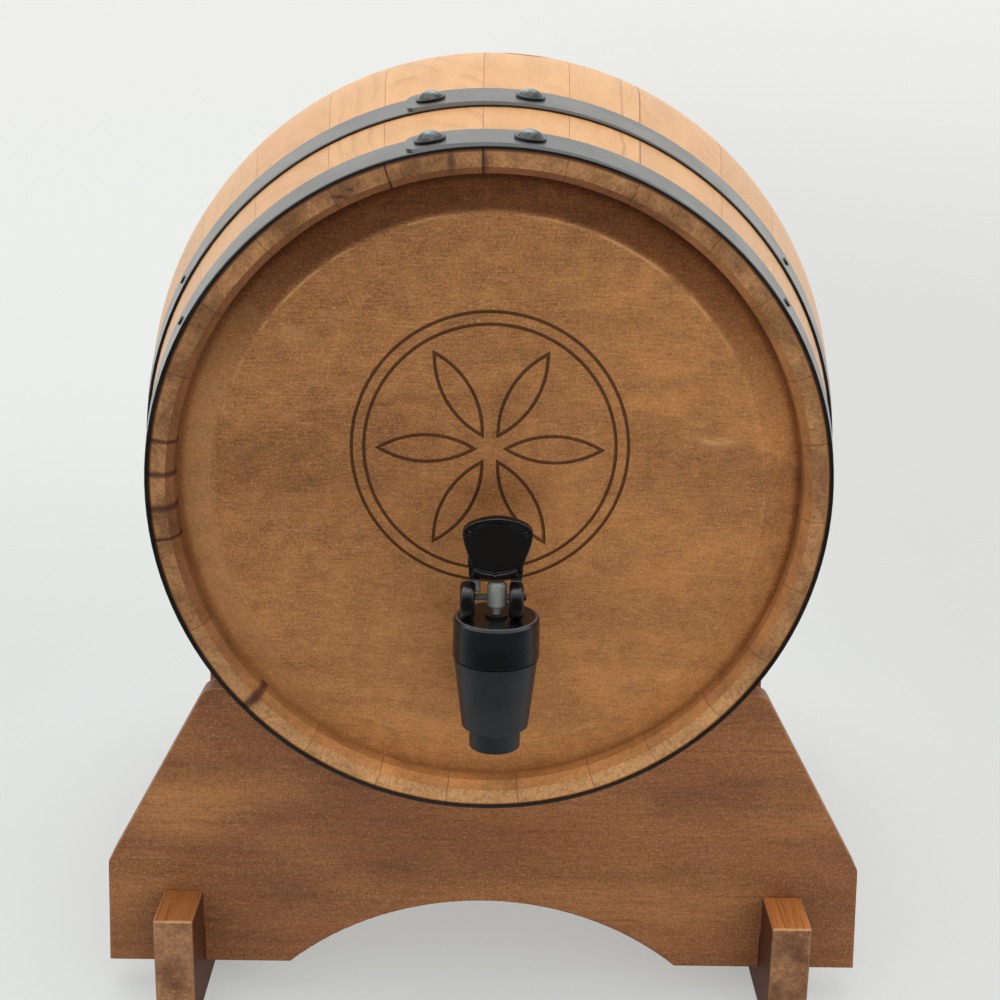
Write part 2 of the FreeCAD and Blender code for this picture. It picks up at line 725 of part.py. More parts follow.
def make_seat_cup():
    """Silicone cup that closes the outlet, hung from a flange clamped under the bonnet."""
    body = new_body("seat_cup")
    seat = "(chamber_floor_height + seat_rib_height)"
    pocket = "(button_radius + stem_clearance)"
    bore = "(stem_radius + stem_clearance)"
    pocket_base = "(%s + cup_base)" % seat
    pocket_top = "(%s + button_height + stem_clearance * 2)" % pocket_base
    sketch = new_sketch(body, "seat_cup_section", "XZ_Plane")
    draw_outline(sketch, [
        ("0", seat),
        ("cup_radius", seat),
        ("cup_radius", pocket_top),
        ("cup_wall_radius", pocket_top + " + (cup_radius - cup_wall_radius)"),
        ("cup_wall_radius", NECK_TOP),
        ("cup_flange_radius", NECK_TOP),
        ("cup_flange_radius", NECK_TOP + " + cup_flange_thickness"),
        (bore, NECK_TOP + " + cup_flange_thickness"),
        (bore, pocket_top),
        (pocket, pocket_top),
        (pocket, pocket_base),
        ("0", pocket_base),
    ])
    turned(body, "seat_cup_shell", sketch)
    place(body, "tap_side_shift", TAP_Y, TAP_Z)
    return body


def make_stem():
    """Valve stem: button in the cup, rod through the bonnet, and the knob the pin goes through."""
    body = new_body("stem")
    start = "(chamber_floor_height + seat_rib_height + cup_base + stem_clearance)"
    knob = "(%s - knob_below_pin)" % PIN_HEIGHT
    top = "(%s + knob_height)" % knob
    sketch = new_sketch(body, "stem_section", "XZ_Plane")
    draw_outline(sketch, [
        ("0", start),
        ("button_radius", start),
        ("button_radius", start + " + button_height"),
        ("stem_radius", start + " + button_height"),
        ("stem_radius", knob),
        ("knob_radius - knob_round", knob),
        ("knob_radius", knob + " + knob_round"),
        ("knob_radius", top + " - knob_round"),
        ("knob_radius - knob_round", top),
        ("0", top),
    ])
    turned(body, "stem_rod", sketch)
    hole = new_sketch(body, "stem_pin_circle", "YZ_Plane")
    draw_circle(hole, "0", PIN_HEIGHT, "pin_radius + pin_grip_gap")
    extruded(body, "stem_pin_hole", hole, "knob_radius * 4", both_ways=True, cut=True)
    place(body, "tap_side_shift", TAP_Y, TAP_Z)
    return body


def make_lever_pin():
    body = new_body("lever_pin")
    sketch = new_sketch(body, "lever_pin_circle", "YZ_Plane")
    draw_circle(sketch, "0", PIN_HEIGHT, "pin_radius")
    reach = "(cheek_inner + cheek_thickness - pin_end_inset)"
    extruded(body, "lever_pin_rod", sketch, reach + " * 2", both_ways=True)
    place(body, "tap_side_shift", TAP_Y, TAP_Z)
    return body


def make_lever():
    """Lever with two cam cheeks beside the stem's knob, and a fan-shaped paddle above them.

    Its origin is on the pin. The cheeks are round about a point in front of the pin, so that
    pulling the paddle forwards lifts the pin.
    """
    body = new_body("lever")
    cheek = new_sketch(body, "cheek_circle", "YZ_Plane", "cheek_inner")
    draw_circle(cheek, "-cam_offset", "0", "cam_radius")
    disc = extruded(body, "cheek", cheek, "cheek_thickness")
    lip_top = "(paddle_foot_height + lip_height)"
    arm = new_sketch(body, "arm_outline", "YZ_Plane", "cheek_inner")
    draw_outline(arm, [
        ("-cam_offset", "0"),
        ("cam_radius - cam_offset", "0"),
        ("arm_width / 2", lip_top),
        ("-arm_width / 2", lip_top),
    ])
    strut = extruded(body, "arm", arm, "arm_thickness")
    mirrored(body, "other_cheek", [disc, strut], "YZ_Plane")

    lip = new_sketch(body, "lip_outline", "YZ_Plane")
    draw_outline(lip, [
        ("-lip_depth / 2", "paddle_foot_height"),
        ("lip_depth / 2", "paddle_foot_height"),
        ("lip_depth / 2", lip_top),
        ("-lip_depth / 2", lip_top),
    ])
    extruded(body, "lip", lip, "paddle_foot_width", both_ways=True)

    # The paddle's sketch plane leans forwards about the X axis through the pin.
    paddle = new_sketch(body, "paddle_outline", "XZ_Plane", "0", "paddle_lean")
    foot, widest = "paddle_foot_width / 2", "paddle_width / 2"
    shoulder = "paddle_foot_height + paddle_shoulder"
    crown = "paddle_foot_height + paddle_crown"
    draw_outline(paddle, [
        ("-" + foot, "paddle_foot_height", "-paddle_side_radius"),
        (foot, "paddle_foot_height"),
        (widest, shoulder, "-paddle_side_radius"),
        ("paddle_crown_width / 2", crown, "paddle_corner_radius"),
        ("-paddle_crown_width / 2", crown, "paddle_top_radius"),
        ("-" + widest, shoulder, "paddle_corner_radius"),
    ])
    extruded(body, "paddle", paddle, "paddle_thickness", both_ways=True)

    hole = new_sketch(body, "lever_pin_hole_circle", "YZ_Plane")
    draw_circle(hole, "0", "0", "pin_radius + pin_clearance")
    extruded(body, "lever_pin_hole", hole, "(cheek_inner + cheek_thickness) * 3", both_ways=True, cut=True)
    place(body, "tap_side_shift", TAP_Y, TAP_Z + " + " + PIN_HEIGHT)
    return body


def make_washer(name, y_text):
    """Flat seal round the shank."""
    body = new_body(name)
    sketch = new_sketch(body, name + "_circles", "XZ_Plane")
    draw_circle(sketch, "0", "0", "washer_radius")
    draw_circle(sketch, "0", "0", "shank_radius + washer_clearance")
    extruded(body, name + "_ring", sketch, "washer_thickness", reverse=True)
    place(body, "tap_side_shift", y_text, TAP_Z + " + shank_height")
    return body


def make_shank_nut():
    """Hexagonal nut on the shank, inside the cask."""
    body = new_body("shank_nut")
    sketch = new_sketch(body, "nut_outline", "XZ_Plane")
    corner = "(nut_flats / 2 / cos(30))"
    draw_outline(sketch, [
        ("%s * cos(%d)" % (corner, turn), "%s * sin(%d)" % (corner, turn))
        for turn in (30, 90, 150, 210, 270, 330)
    ])
    draw_circle(sketch, "0", "0", "shank_radius + thread_clearance")
    extruded(body, "nut_blank", sketch, "nut_thickness", reverse=True)
    place(body, "tap_side_shift", HEAD_BACK_Y + " + washer_thickness", TAP_Z + " + shank_height")
    return body


# ---------------------------------------------------------------- stand

def make_board(name, from_rear):
    """Cradle board: bottom arch, slanted shoulders, round seat for the cask, notches for the rails."""
    body = new_body(name)
    sketch = new_sketch(body, name + "_outline", "XZ_Plane")
    seat = "(%s + cradle_gap)" % shell_radius("board_inset + board_thickness")
    seat_x = "sqrt(%s ^ 2 - arm_drop ^ 2)" % seat
    arch = "((arch_half_width ^ 2 + arch_rise ^ 2) / (2 * arch_rise))"
    notch_in = "(%s - rail_width / 2 - lap_clearance)" % RAIL_X
    notch_out = "(%s + rail_width / 2 + lap_clearance)" % RAIL_X
    notch_top = "((board_lift + rail_height) / 2)"
    right = [
        ("arch_half_width", "board_lift"),
        (notch_in, "board_lift"),
        (notch_in, notch_top),
        (notch_out, notch_top),
        (notch_out, "board_lift"),
        ("board_half_width", "board_lift"),
        (SIDE_X, "board_side_height"),
        ("arm_half_width", ARM_HEIGHT),
        (seat_x, ARM_HEIGHT),
    ]
    left = [("-" + x_text, z_text) for x_text, z_text in reversed(right)]
    left[0] = (left[0][0], left[0][1], "-" + seat)
    right[0] = (right[0][0], right[0][1], "-" + arch)
    draw_outline(sketch, right + left)
    extruded(body, name + "_plank", sketch, "board_thickness", reverse=True)

    def corner_at(x_text, z_text):
        def wanted(ends, middle):
            return all(
                abs(abs(point.x) - size(x_text)) < 0.01 and abs(point.z - size(z_text)) < 0.01
                for point in ends)
        return wanted

    def on_a_face(ends, middle):
        level = max(point.y for point in ends) - min(point.y for point in ends) < 0.01
        beside_rail = abs(abs(middle.x) - size(RAIL_X)) < size("rail_width / 2 + lap_clearance * 2")
        return level and not (beside_rail and middle.z < size("rail_height"))

    rounded(body, name + "_arm_corners", corner_at("arm_half_width", ARM_HEIGHT), "arm_corner")
    side_corner = corner_at(SIDE_X, "board_side_height")
    rounded(body, name + "_side_corners", side_corner, "side_corner")
    rounded(body, name + "_eased_edge", on_a_face, "eased_edge")
    y_text = CASK_FRONT + " + board_inset"
    if from_rear:
        y_text = CASK_FRONT + " + cask_length - board_inset - board_thickness"
    place(body, "0", y_text, "0")
    return body


def make_rail(name, side):
    """Foot rail that crosses both boards, halved over them."""
    body = new_body(name)
    sketch = new_sketch(body, name + "_outline", "YZ_Plane")
    length = "(cask_length - 2 * rail_inset)"
    near = "(board_inset - rail_inset - lap_clearance)"
    far = "(board_inset - rail_inset + board_thickness + lap_clearance)"
    notch_floor = "((board_lift + rail_height) / 2 - lap_clearance)"
    front = [("0", "0"), ("0", "rail_height"), (near, "rail_height"), (near, notch_floor),
             (far, notch_floor), (far, "rail_height")]
    back = [("%s - %s" % (length, y_text), z_text) for y_text, z_text in reversed(front)]
    back[-2] = (length, "rail_height")
    back[-1] = (length, "0")
    draw_outline(sketch, list(reversed(front + back)))
    extruded(body, name + "_bar", sketch, "rail_width", both_ways=True)

    def outer_edge(ends, middle):
        at_end = any(
            all(abs(point.y - y_end) < 0.01 for point in ends) for y_end in (0, size(length)))
        on_top = all(abs(point.z - size("rail_height")) < 0.01 for point in ends)
        along = abs(ends[0].x - ends[-1].x) < 0.01
        return at_end or (on_top and along)

    rounded(body, name + "_eased_edge", outer_edge, "eased_edge")
    place(body, side + RAIL_X, CASK_FRONT + " + rail_inset", "0")
    return body


# ---------------------------------------------------------------- build, check and write

parts = [make_stave(index) for index in range(len(SEAMS))]
parts += [make_front_head(), make_rear_head()]
parts += [make_hoop(name) for name in HOOPS]
make_rivets()
make_nails()
parts += [make_bung(), make_valve_body(), make_bonnet(), make_seat_cup(), make_stem()]
parts += [make_lever_pin(), make_lever()]
parts += [make_washer("outer_washer", FACE_Y + " - washer_thickness")]
parts += [make_washer("inner_washer", HEAD_BACK_Y), make_shank_nut()]
parts += [make_board("front_board", False), make_board("rear_board", True)]
parts += [make_rail("left_rail", "-"), make_rail("right_rail", "")]
doc.recompute()

for item in doc.Objects:
    if "Invalid" in item.State or "Error" in item.State:
        raise RuntimeError("failed object: %s %s" % (item.Name, item.State))

parts += [item for item in doc.Objects if item.TypeId == "Part::Feature"]
os.makedirs("parts", exist_ok=True)
for item in parts:
    if item.Shape.isNull() or not item.Shape.isValid():
        raise RuntimeError("bad shape: " + item.Label)
for item in parts:
    item.Shape.exportStep(os.path.join("parts", item.Label + ".step"))
print("sub-parts:", len(parts))
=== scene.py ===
"""Looks of an oak cask with a lever tap in its cradle stand: finishes, lever, stage, lights, camera.

Everything is in metres in the cask's own frame: X to the right seen from the tap, Y to the rear, Z up.
"""

import math

import bmesh
import bpy
from mathutils import Matrix, Vector


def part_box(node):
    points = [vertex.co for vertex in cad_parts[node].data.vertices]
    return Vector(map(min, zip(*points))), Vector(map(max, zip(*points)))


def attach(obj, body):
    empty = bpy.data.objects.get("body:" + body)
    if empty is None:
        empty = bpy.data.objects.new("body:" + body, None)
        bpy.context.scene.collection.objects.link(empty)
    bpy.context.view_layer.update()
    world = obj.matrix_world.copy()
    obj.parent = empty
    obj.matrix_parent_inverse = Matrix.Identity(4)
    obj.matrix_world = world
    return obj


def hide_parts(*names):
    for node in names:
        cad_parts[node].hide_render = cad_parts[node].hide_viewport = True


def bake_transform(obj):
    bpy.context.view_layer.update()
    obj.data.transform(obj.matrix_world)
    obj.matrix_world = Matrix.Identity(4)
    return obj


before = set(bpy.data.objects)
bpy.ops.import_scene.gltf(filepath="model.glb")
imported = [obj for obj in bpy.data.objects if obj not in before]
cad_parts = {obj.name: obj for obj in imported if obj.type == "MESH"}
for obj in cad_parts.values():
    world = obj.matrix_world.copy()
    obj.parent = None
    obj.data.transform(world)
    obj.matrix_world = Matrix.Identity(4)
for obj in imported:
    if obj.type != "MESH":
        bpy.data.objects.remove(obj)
bpy.context.view_layer.update()

MM = 0.001


# ---------------------------------------------------------------- places, taken from the frame

def corners(node):
    low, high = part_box(node)
    return Vector(low), Vector(high)


head_low, head_high = corners("front_head")
AXIS_X = (head_low.x + head_high.x) / 2
AXIS_Z = (head_low.z + head_high.z) / 2
HEAD_FACE_Y = head_low.y
pin_low, pin_high = corners("lever_pin")
PIN = (pin_low + pin_high) / 2
HEAD_FIELD_RADIUS = 89 * MM
CHIME_RADIUS = 109 * MM
CHIME_INNER_RADIUS = 101.3 * MM
CARVING_DEPTH = 0.7 * MM
STAVES = sorted(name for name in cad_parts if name.startswith("stave_"))
HOOPS = ("front_end_hoop", "front_quarter_hoop", "rear_quarter_hoop", "rear_end_hoop")
SEALS = ("seat_cup", "outer_washer", "inner_washer")


def wrapped(angle):
    """The angle brought between minus and plus half a turn."""
    return (angle + math.pi) % (2 * math.pi) - math.pi


def stave_span(name):
    """Middle direction and half width of a stave, as angles clockwise from the top."""
    points = [v.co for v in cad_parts[name].data.vertices]
    x = sum(p.x - AXIS_X for p in points)
    z = sum(p.z - AXIS_Z for p in points)
    middle = math.atan2(x, z)
    spread = [wrapped(math.atan2(p.x - AXIS_X, p.z - AXIS_Z) - middle) for p in points]
    return middle + (max(spread) + min(spread)) / 2, (max(spread) - min(spread)) / 2


# ---------------------------------------------------------------- mixing finishes

MIX_FIRST, MIX_SECOND, MIX_RESULT = 6, 7, 2    # a colour mix's sockets


def paint(red, green, blue):
    """A paint-chart colour, 0 to 255, as the share of light it gives back."""
    def share(value):
        value /= 255
        return value / 12.92 if value <= 0.04045 else ((value + 0.055) / 1.055) ** 2.4
    return (share(red), share(green), share(blue), 1.0)


class Finish:
    """One finish being mixed. Every call adds a step and hands back its result."""

    def __init__(self, name):
        self.material = bpy.data.materials.new(name)
        self.mix_in(self.material)

    def mix_in(self, owner):
        owner.use_nodes = True
        self.tree = owner.node_tree
        self.tree.nodes.clear()

    def step(self, kind, inputs=(), **settings):
        node = self.tree.nodes.new(kind)
        for key, value in settings.items():
            setattr(node, key, value)
        for key, value in dict(inputs).items():
            self.feed(node.inputs[key], value)
        return node

    def feed(self, socket, value):
        if isinstance(value, bpy.types.NodeSocket):
            self.tree.links.new(value, socket)
        elif value is not None:
            socket.default_value = value

    def place(self):
        """The three parts of a point's place."""
        return self.split(self.step("ShaderNodeTexCoord").outputs["Object"])

    def facing(self):
        """The three parts of the direction that the bare surface looks in."""
        return self.split(self.step("ShaderNodeNewGeometry").outputs["True Normal"])

    def split(self, vector):
        return self.step("ShaderNodeSeparateXYZ", {0: vector}).outputs

    def join(self, x, y, z):
        return self.step("ShaderNodeCombineXYZ", {0: x, 1: y, 2: z}).outputs[0]

    def maths(self, operation, *values):
        return self.step("ShaderNodeMath", enumerate(values), operation=operation).outputs[0]

    def add(self, *values):
        total = values[0]
        for value in values[1:]:
            total = self.maths("ADD", total, value)
        return total

    def minus(self, a, b):
        return self.maths("SUBTRACT", a, b)

    def times(self, a, b):
        return self.maths("MULTIPLY", a, b)

    def least(self, a, b):
        return self.maths("MINIMUM", a, b)

    def most(self, a, b):
        return self.maths("MAXIMUM", a, b)

    def absolute(self, value):
        return self.maths("ABSOLUTE", value)

    def swing(self, noise, reach):
        """Noise about one half, turned into a shift about nothing."""
        return self.times(self.add(noise, -0.5), reach)

    def turned(self, x, z, angle):
        """Coordinates about the cask's axis, turned so that the direction angle points up."""
        dx, dz = self.minus(x, AXIS_X), self.minus(z, AXIS_Z)
        across = self.minus(self.times(dx, math.cos(angle)), self.times(dz, math.sin(angle)))
        height = self.add(self.times(dx, math.sin(angle)), self.times(dz, math.cos(angle)))
        return across, height

    def length(self, a, b):
        return self.maths("SQRT", self.add(self.times(a, a), self.times(b, b)))

    def noise(self, vector, detail=2.0, roughness=0.5):
        node = self.step("ShaderNodeTexNoise", {
            "Vector": vector, "Scale": 1.0, "Detail": detail, "Roughness": roughness, "Distortion": 0.0})
        return node.outputs[0]

    def stretched(self, along, across, depth, lengths, offset=0.0, detail=2.0, roughness=0.5):
        """Noise whose blotches have the given lengths along, across and in depth."""
        return self.noise(self.join(
            self.add(self.times(along, 1 / lengths[0]), offset),
            self.add(self.times(across, 1 / lengths[1]), offset * 1.7),
            self.add(self.times(depth, 1 / lengths[2]), offset * 0.6)), detail, roughness)

    def cells(self, x, y, z, per_metre, detail=2.0, roughness=0.6):
        """Noise with the same grain in every direction."""
        return self.noise(self.join(self.times(x, per_metre), self.times(y, per_metre),
                                    self.times(z, per_metre)), detail, roughness)

    def rise(self, value, low, high, bottom=0.0, top=1.0):
        """Smooth step from bottom to top while value goes from low to high."""
        node = self.step("ShaderNodeMapRange", {0: value, 1: low, 2: high, 3: bottom, 4: top},
                         interpolation_type="SMOOTHSTEP")
        return node.outputs[0]

    def fall(self, value, low, high, top=1.0, bottom=0.0):
        """Smooth step down from top to bottom while value goes from low to high."""
        return self.rise(value, low, high, top, bottom)

    def band(self, value, middle, width, edge):
        """One where value is within width of middle, fading out over edge."""
        return self.fall(self.absolute(self.minus(value, middle)), width, width + edge)

    def blend(self, amount, first, second, mode="MIX"):
        node = self.step("ShaderNodeMix", data_type="RGBA", blend_type=mode, clamp_factor=True)
        self.feed(node.inputs[0], amount)
        self.feed(node.inputs[MIX_FIRST], first)
        self.feed(node.inputs[MIX_SECOND], second)
        return node.outputs[MIX_RESULT]

    def shade(self, colour, amount, tone):
        """The colour multiplied by a tone where amount is one."""
        return self.blend(amount, colour, tone, "MULTIPLY")

    def lively(self, colour, *changes):
        """The colour made lighter and darker by pairs of a noise and its swing."""
        return self.shade(colour, 1.0, self.add(1.0, *[self.swing(*change) for change in changes]))

    def bump(self, height, depth):
        return self.step("ShaderNodeBump", {"Strength": 1.0, "Distance": depth, "Height": height}
                         ).outputs["Normal"]

    def surface(self, colour, roughness, normal, **constants):
        shader = self.step("ShaderNodeBsdfPrincipled",
                           {"Base Color": colour, "Roughness": roughness, "Normal": normal})
        for key, value in constants.items():
            shader.inputs[key.replace("_", " ")].default_value = value
        self.step("ShaderNodeOutputMaterial", {"Surface": shader.outputs[0]})
        return self.material


# Wood at three scales: blotch lengths along the grain, across it and in depth.
STREAK_SIZE = (100 * MM, 11 * MM, 11 * MM)
FIBRE_SIZE = (7.5 * MM, 0.6 * MM, 0.6 * MM)
PORE_SIZE = (2.6 * MM, 0.36 * MM, 0.36 * MM)
WOOD_RELIEF = 0.06 * MM
STAND_RELIEF = 0.07 * MM


def grain(finish, along, across, depth, offset=0.0):
    """Broad streaks, short fibres, and pores, where low is light and high dark."""
    streak = finish.stretched(along, across, depth, STREAK_SIZE, offset, 3.0, 0.55)
    fibre = finish.stretched(along, across, depth, FIBRE_SIZE, offset, 2.0, 0.65)
    pores = finish.stretched(along, across, depth, PORE_SIZE, offset + 5, 1.0)
    return streak, fibre, pores


def soft_patch(finish, x, z, middle, reach):
    """One in the middle of an oval, fading to nothing at its edge."""
    across = finish.times(finish.add(x, -middle[0]), 1 / reach[0])
    height = finish.times(finish.add(z, -middle[1]), 1 / reach[1])
    return finish.fall(finish.length(across, height), 0.15, 1.0)


# ---------------------------------------------------------------- oak of the staves

STAVE_LIGHT = paint(210, 157, 101)
STAVE_DARK = paint(199, 145, 90)
STAVE_RING = paint(158, 106, 64)
STAVE_SIDE_SHEEN = paint(190, 149, 108)
SEAM_TONE = paint(140, 104, 80)
STAIN_LIGHT = paint(152, 108, 67)
STAIN_DARK = paint(114, 76, 43)
STAIN_PALER = paint(184, 137, 88)
STAIN_SMOOTH = paint(123, 79, 47)
STAIN_SMOOTH_LIT = paint(181, 124, 71)
SOAKED = paint(70, 38, 27)
GRIME = paint(52, 40, 33)

# Growth rings lie about a heart below the stave; the staves' hearts differ in depth and tilt.
RING_WIDTH = 4.6 * MM
HEART_DEPTH = 75 * MM
HEART_DEPTH_STEP = 4 * MM
HEART_TILT = 0.02
SIDE_SHEEN_SHARE = 0.75

# Direction of a joint in degrees, and how far the stain soaked in beside it, in millimetres.
SOAKED_JOINTS = {278.9: 0.7, 272.9: 1.0, 266.8: 1.2, 261.2: 0.6, 227.3: 1.5, 342.2: 0.25, -1.8: 0.4}
JOINT_MATCH = math.radians(1.2)

# Joints whose dark line shows clearly on the outside; the others are tight and faint.
OPEN_JOINTS = {-1.8: 0.05, 24: 0.55, 342.2: 0.03, 40: 0.18}
TIGHT_JOINT = 0.02
# Smudges on the sawn ends: place across and up, reach across and up, in millimetres, and depth of tone.
SMUDGES = ((-13.0, 309.0, 1.9, 6.0, 0.75), (-2.6, 309.2, 1.8, 5.0, 0.7), (-46.6, 297.8, 4.2, 1.1, 0.8),
           (-43.5, 300.0, 2.4, 0.8, 0.7), (-31.4, 301.6, 0.7, 5.0, 0.5), (54.3, 281.8, 6.0, 4.0, 0.45),
           (44.7, 290.8, 5.0, 3.0, 0.4), (-108.0, 196.0, 2.0, 3.0, 0.5), (-76.5, 133.0, 3.0, 4.0, 0.55))
SMUDGE_MARGIN = 0.08

# Tone of each stave, lighter above zero, and how far its heart lies to the side, in millimetres.
STAVE_TONES = [0.5, 0.7, 0.1, -0.3, 0.25, 0.2, -0.5, 0.35, -0.1, 0.55, -0.4, 0.1, 0.7, -0.3,
               0.4, -0.6, 0.25, -0.15, 0.5, 0.1, 0.45, -0.2, 0.3, -0.35, 0.2, -0.25, -0.1, 0.35]
STAVE_HEARTS = [14, -55, 31, -18, 60, -9, 42, -30, 5, 70, -44, 22, -12, 52, -66, 17, 36, -25, 8, -48,
                27, 63, -15, 45, -34, 12, -40, 18]
# Staves whose growth rings run out slantwise as dark flames: lean of the rings, and how dark they are.
FLAMED = {26: (0.17, 0.34), 27: (0.15, 0.30), 1: (0.05, 0.18), 5: (0.12, 0.4), 17: (-0.14, 0.45)}
PLAIN_FLAME = 0.16
# Staves with one dark wandering vein: its place across the stave, in millimetres.
VEINED = {1: 6.4, 9: -5.0, 20: 4.0}


def at_joint(table, angle, otherwise):
    for joint, value in table.items():
        if abs(wrapped(angle - math.radians(joint))) < JOINT_MATCH:
            return value
    return otherwise


def growth_rings(finish, index, y, across, height, wander, lean):
    """Late wood of the rings, fading in and out along the stave."""
    side = finish.add(across, STAVE_HEARTS[index] * MM, finish.times(y, lean))
    depth = HEART_DEPTH + HEART_DEPTH_STEP * (index % 4)
    below = finish.add(height, -depth, finish.times(y, HEART_TILT * (index % 3 - 1)))
    turns = finish.add(finish.times(finish.length(side, below), 1 / RING_WIDTH), finish.times(wander, 1.8))
    ring = finish.maths("FRACT", turns)
    late_wood = finish.times(finish.rise(ring, 0.45, 0.92), finish.fall(ring, 0.94, 1.0))
    shown = finish.stretched(y, across, height, (50 * MM, 30 * MM, 30 * MM), index * 2.3, 1.0)
    return finish.times(late_wood, finish.rise(shown, 0.35, 0.6))


def bare_oak(finish, index, middle, place, turned, wood):
    """Bare outside of a stave, paler and greyer towards the cask's sides as a painted sheen."""
    x, y, z = place
    across, height = turned
    streak, fibre, pores = wood
    lean, flame = FLAMED.get(index, (0.02 + 0.01 * (index % 5), PLAIN_FLAME))
    wander = finish.stretched(y, across, height, (70 * MM, 20 * MM, 20 * MM), index * 1.3, 2.0)
    rings = growth_rings(finish, index, y, across, height, wander, lean)
    colour = finish.blend(finish.rise(streak, 0.3, 0.7), STAVE_DARK, STAVE_LIGHT)
    # painted sheen: towards the cask's sides the staves blend to a paler, greyer colour
    colour = finish.blend(SIDE_SHEEN_SHARE * math.sin(middle) ** 2, colour, STAVE_SIDE_SHEEN)
    colour = finish.blend(finish.times(rings, flame), colour, STAVE_RING)
    if index in VEINED:
        path = finish.add(across, -VEINED[index] * MM, finish.swing(wander, 9 * MM))
        vein = finish.fall(finish.absolute(path), 0.2 * MM, 0.9 * MM, 0.55)
        colour = finish.blend(vein, colour, STAVE_RING)
    speck = finish.cells(x, y, z, 1300, 3.0, 0.75)
    colour = finish.lively(colour, (fibre, 0.24), (pores, 0.16), (speck, 0.40))
    tone = STAVE_TONES[index]
    lift = 1.0 + 0.05 * tone
    return finish.shade(colour, 1.0, (lift, lift * (1 + 0.02 * tone), lift * (1 + 0.04 * tone), 1.0))


def stained_end(finish, index, place, turned, radius, streak, mottle):
    """Stained ends: sawn faces mottled with fine slanting rings, bevel and inside smooth and darker."""
    x, y, z = place
    across, height = turned
    patch = finish.cells(x, y, z, 60, 3.0)
    coarse = finish.rise(mottle, 0.36, 0.64)
    slant = 0.9 - 0.45 * (index % 4)
    hatch = finish.stretched(finish.add(height, finish.times(across, slant)),
                             finish.add(across, finish.times(height, -slant)), y,
                             (5 * MM, 0.55 * MM, 20 * MM), index * 4.1, 2.0)
    # lit_part marks where painted light goes: the lower part, given by low_part, and the right side
    low_part = finish.fall(z, AXIS_Z - 112 * MM, AXIS_Z - 20 * MM)
    lit_part = finish.most(low_part, finish.rise(x, AXIS_X + 30 * MM, AXIS_X + 100 * MM, 0.0, 0.6))
    pale_and_lit = finish.most(low_part, finish.times(lit_part, 0.3))

    end = finish.blend(finish.rise(patch, 0.35, 0.65), STAIN_DARK, STAIN_LIGHT)
    # the sawn ends paler towards the bottom, with a little painted light on the right
    end = finish.blend(finish.times(pale_and_lit, 0.85), end, STAIN_PALER)
    end = finish.lively(end, (coarse, 0.42), (hatch, 0.7), (patch, 0.5))
    # painted light on the smooth inside: lighter over the lower part and the right side
    smooth = finish.blend(lit_part, STAIN_SMOOTH, STAIN_SMOOTH_LIT)
    smooth = finish.lively(smooth, (streak, 0.8), (coarse, 0.30), (patch, 1.1))
    sawn = finish.rise(finish.absolute(finish.facing()[1]), 0.80, 0.93)
    colour = finish.blend(sawn, smooth, end)

    rim = finish.add(radius, finish.times(mottle, 1.2 * MM), finish.times(patch, 1.4 * MM))
    at_rim = finish.times(finish.rise(rim, CHIME_RADIUS + 0.1 * MM, CHIME_RADIUS + 1.2 * MM),
                          finish.add(0.5, finish.times(low_part, -0.4)))
    return finish.blend(at_rim, colour, GRIME)


def soaked_places(finish, colour, x, z, mottle, edges, middle, half):
    """Dark bars where stain soaked in beside a joint, and smudges on the sawn ends."""
    for distance, edge in edges:
        width = at_joint(SOAKED_JOINTS, edge, 0.0) * MM
        if width:
            ragged = finish.add(distance, finish.times(mottle, -0.9 * MM), 0.45 * MM)
            colour = finish.blend(finish.fall(ragged, width * 0.5, width * 1.4, 0.78), colour, SOAKED)
    for right, up, wide, tall, amount in SMUDGES:
        direction = math.atan2(right * MM - AXIS_X, up * MM - AXIS_Z)
        if abs(wrapped(direction - middle)) < half + SMUDGE_MARGIN:
            ragged_x = finish.add(x, finish.swing(mottle, 1.5 * MM))
            spot = soft_patch(finish, ragged_x, z, (right * MM, up * MM), (wide * MM, tall * MM))
            colour = finish.blend(finish.times(spot, amount), colour, SOAKED)
    return colour


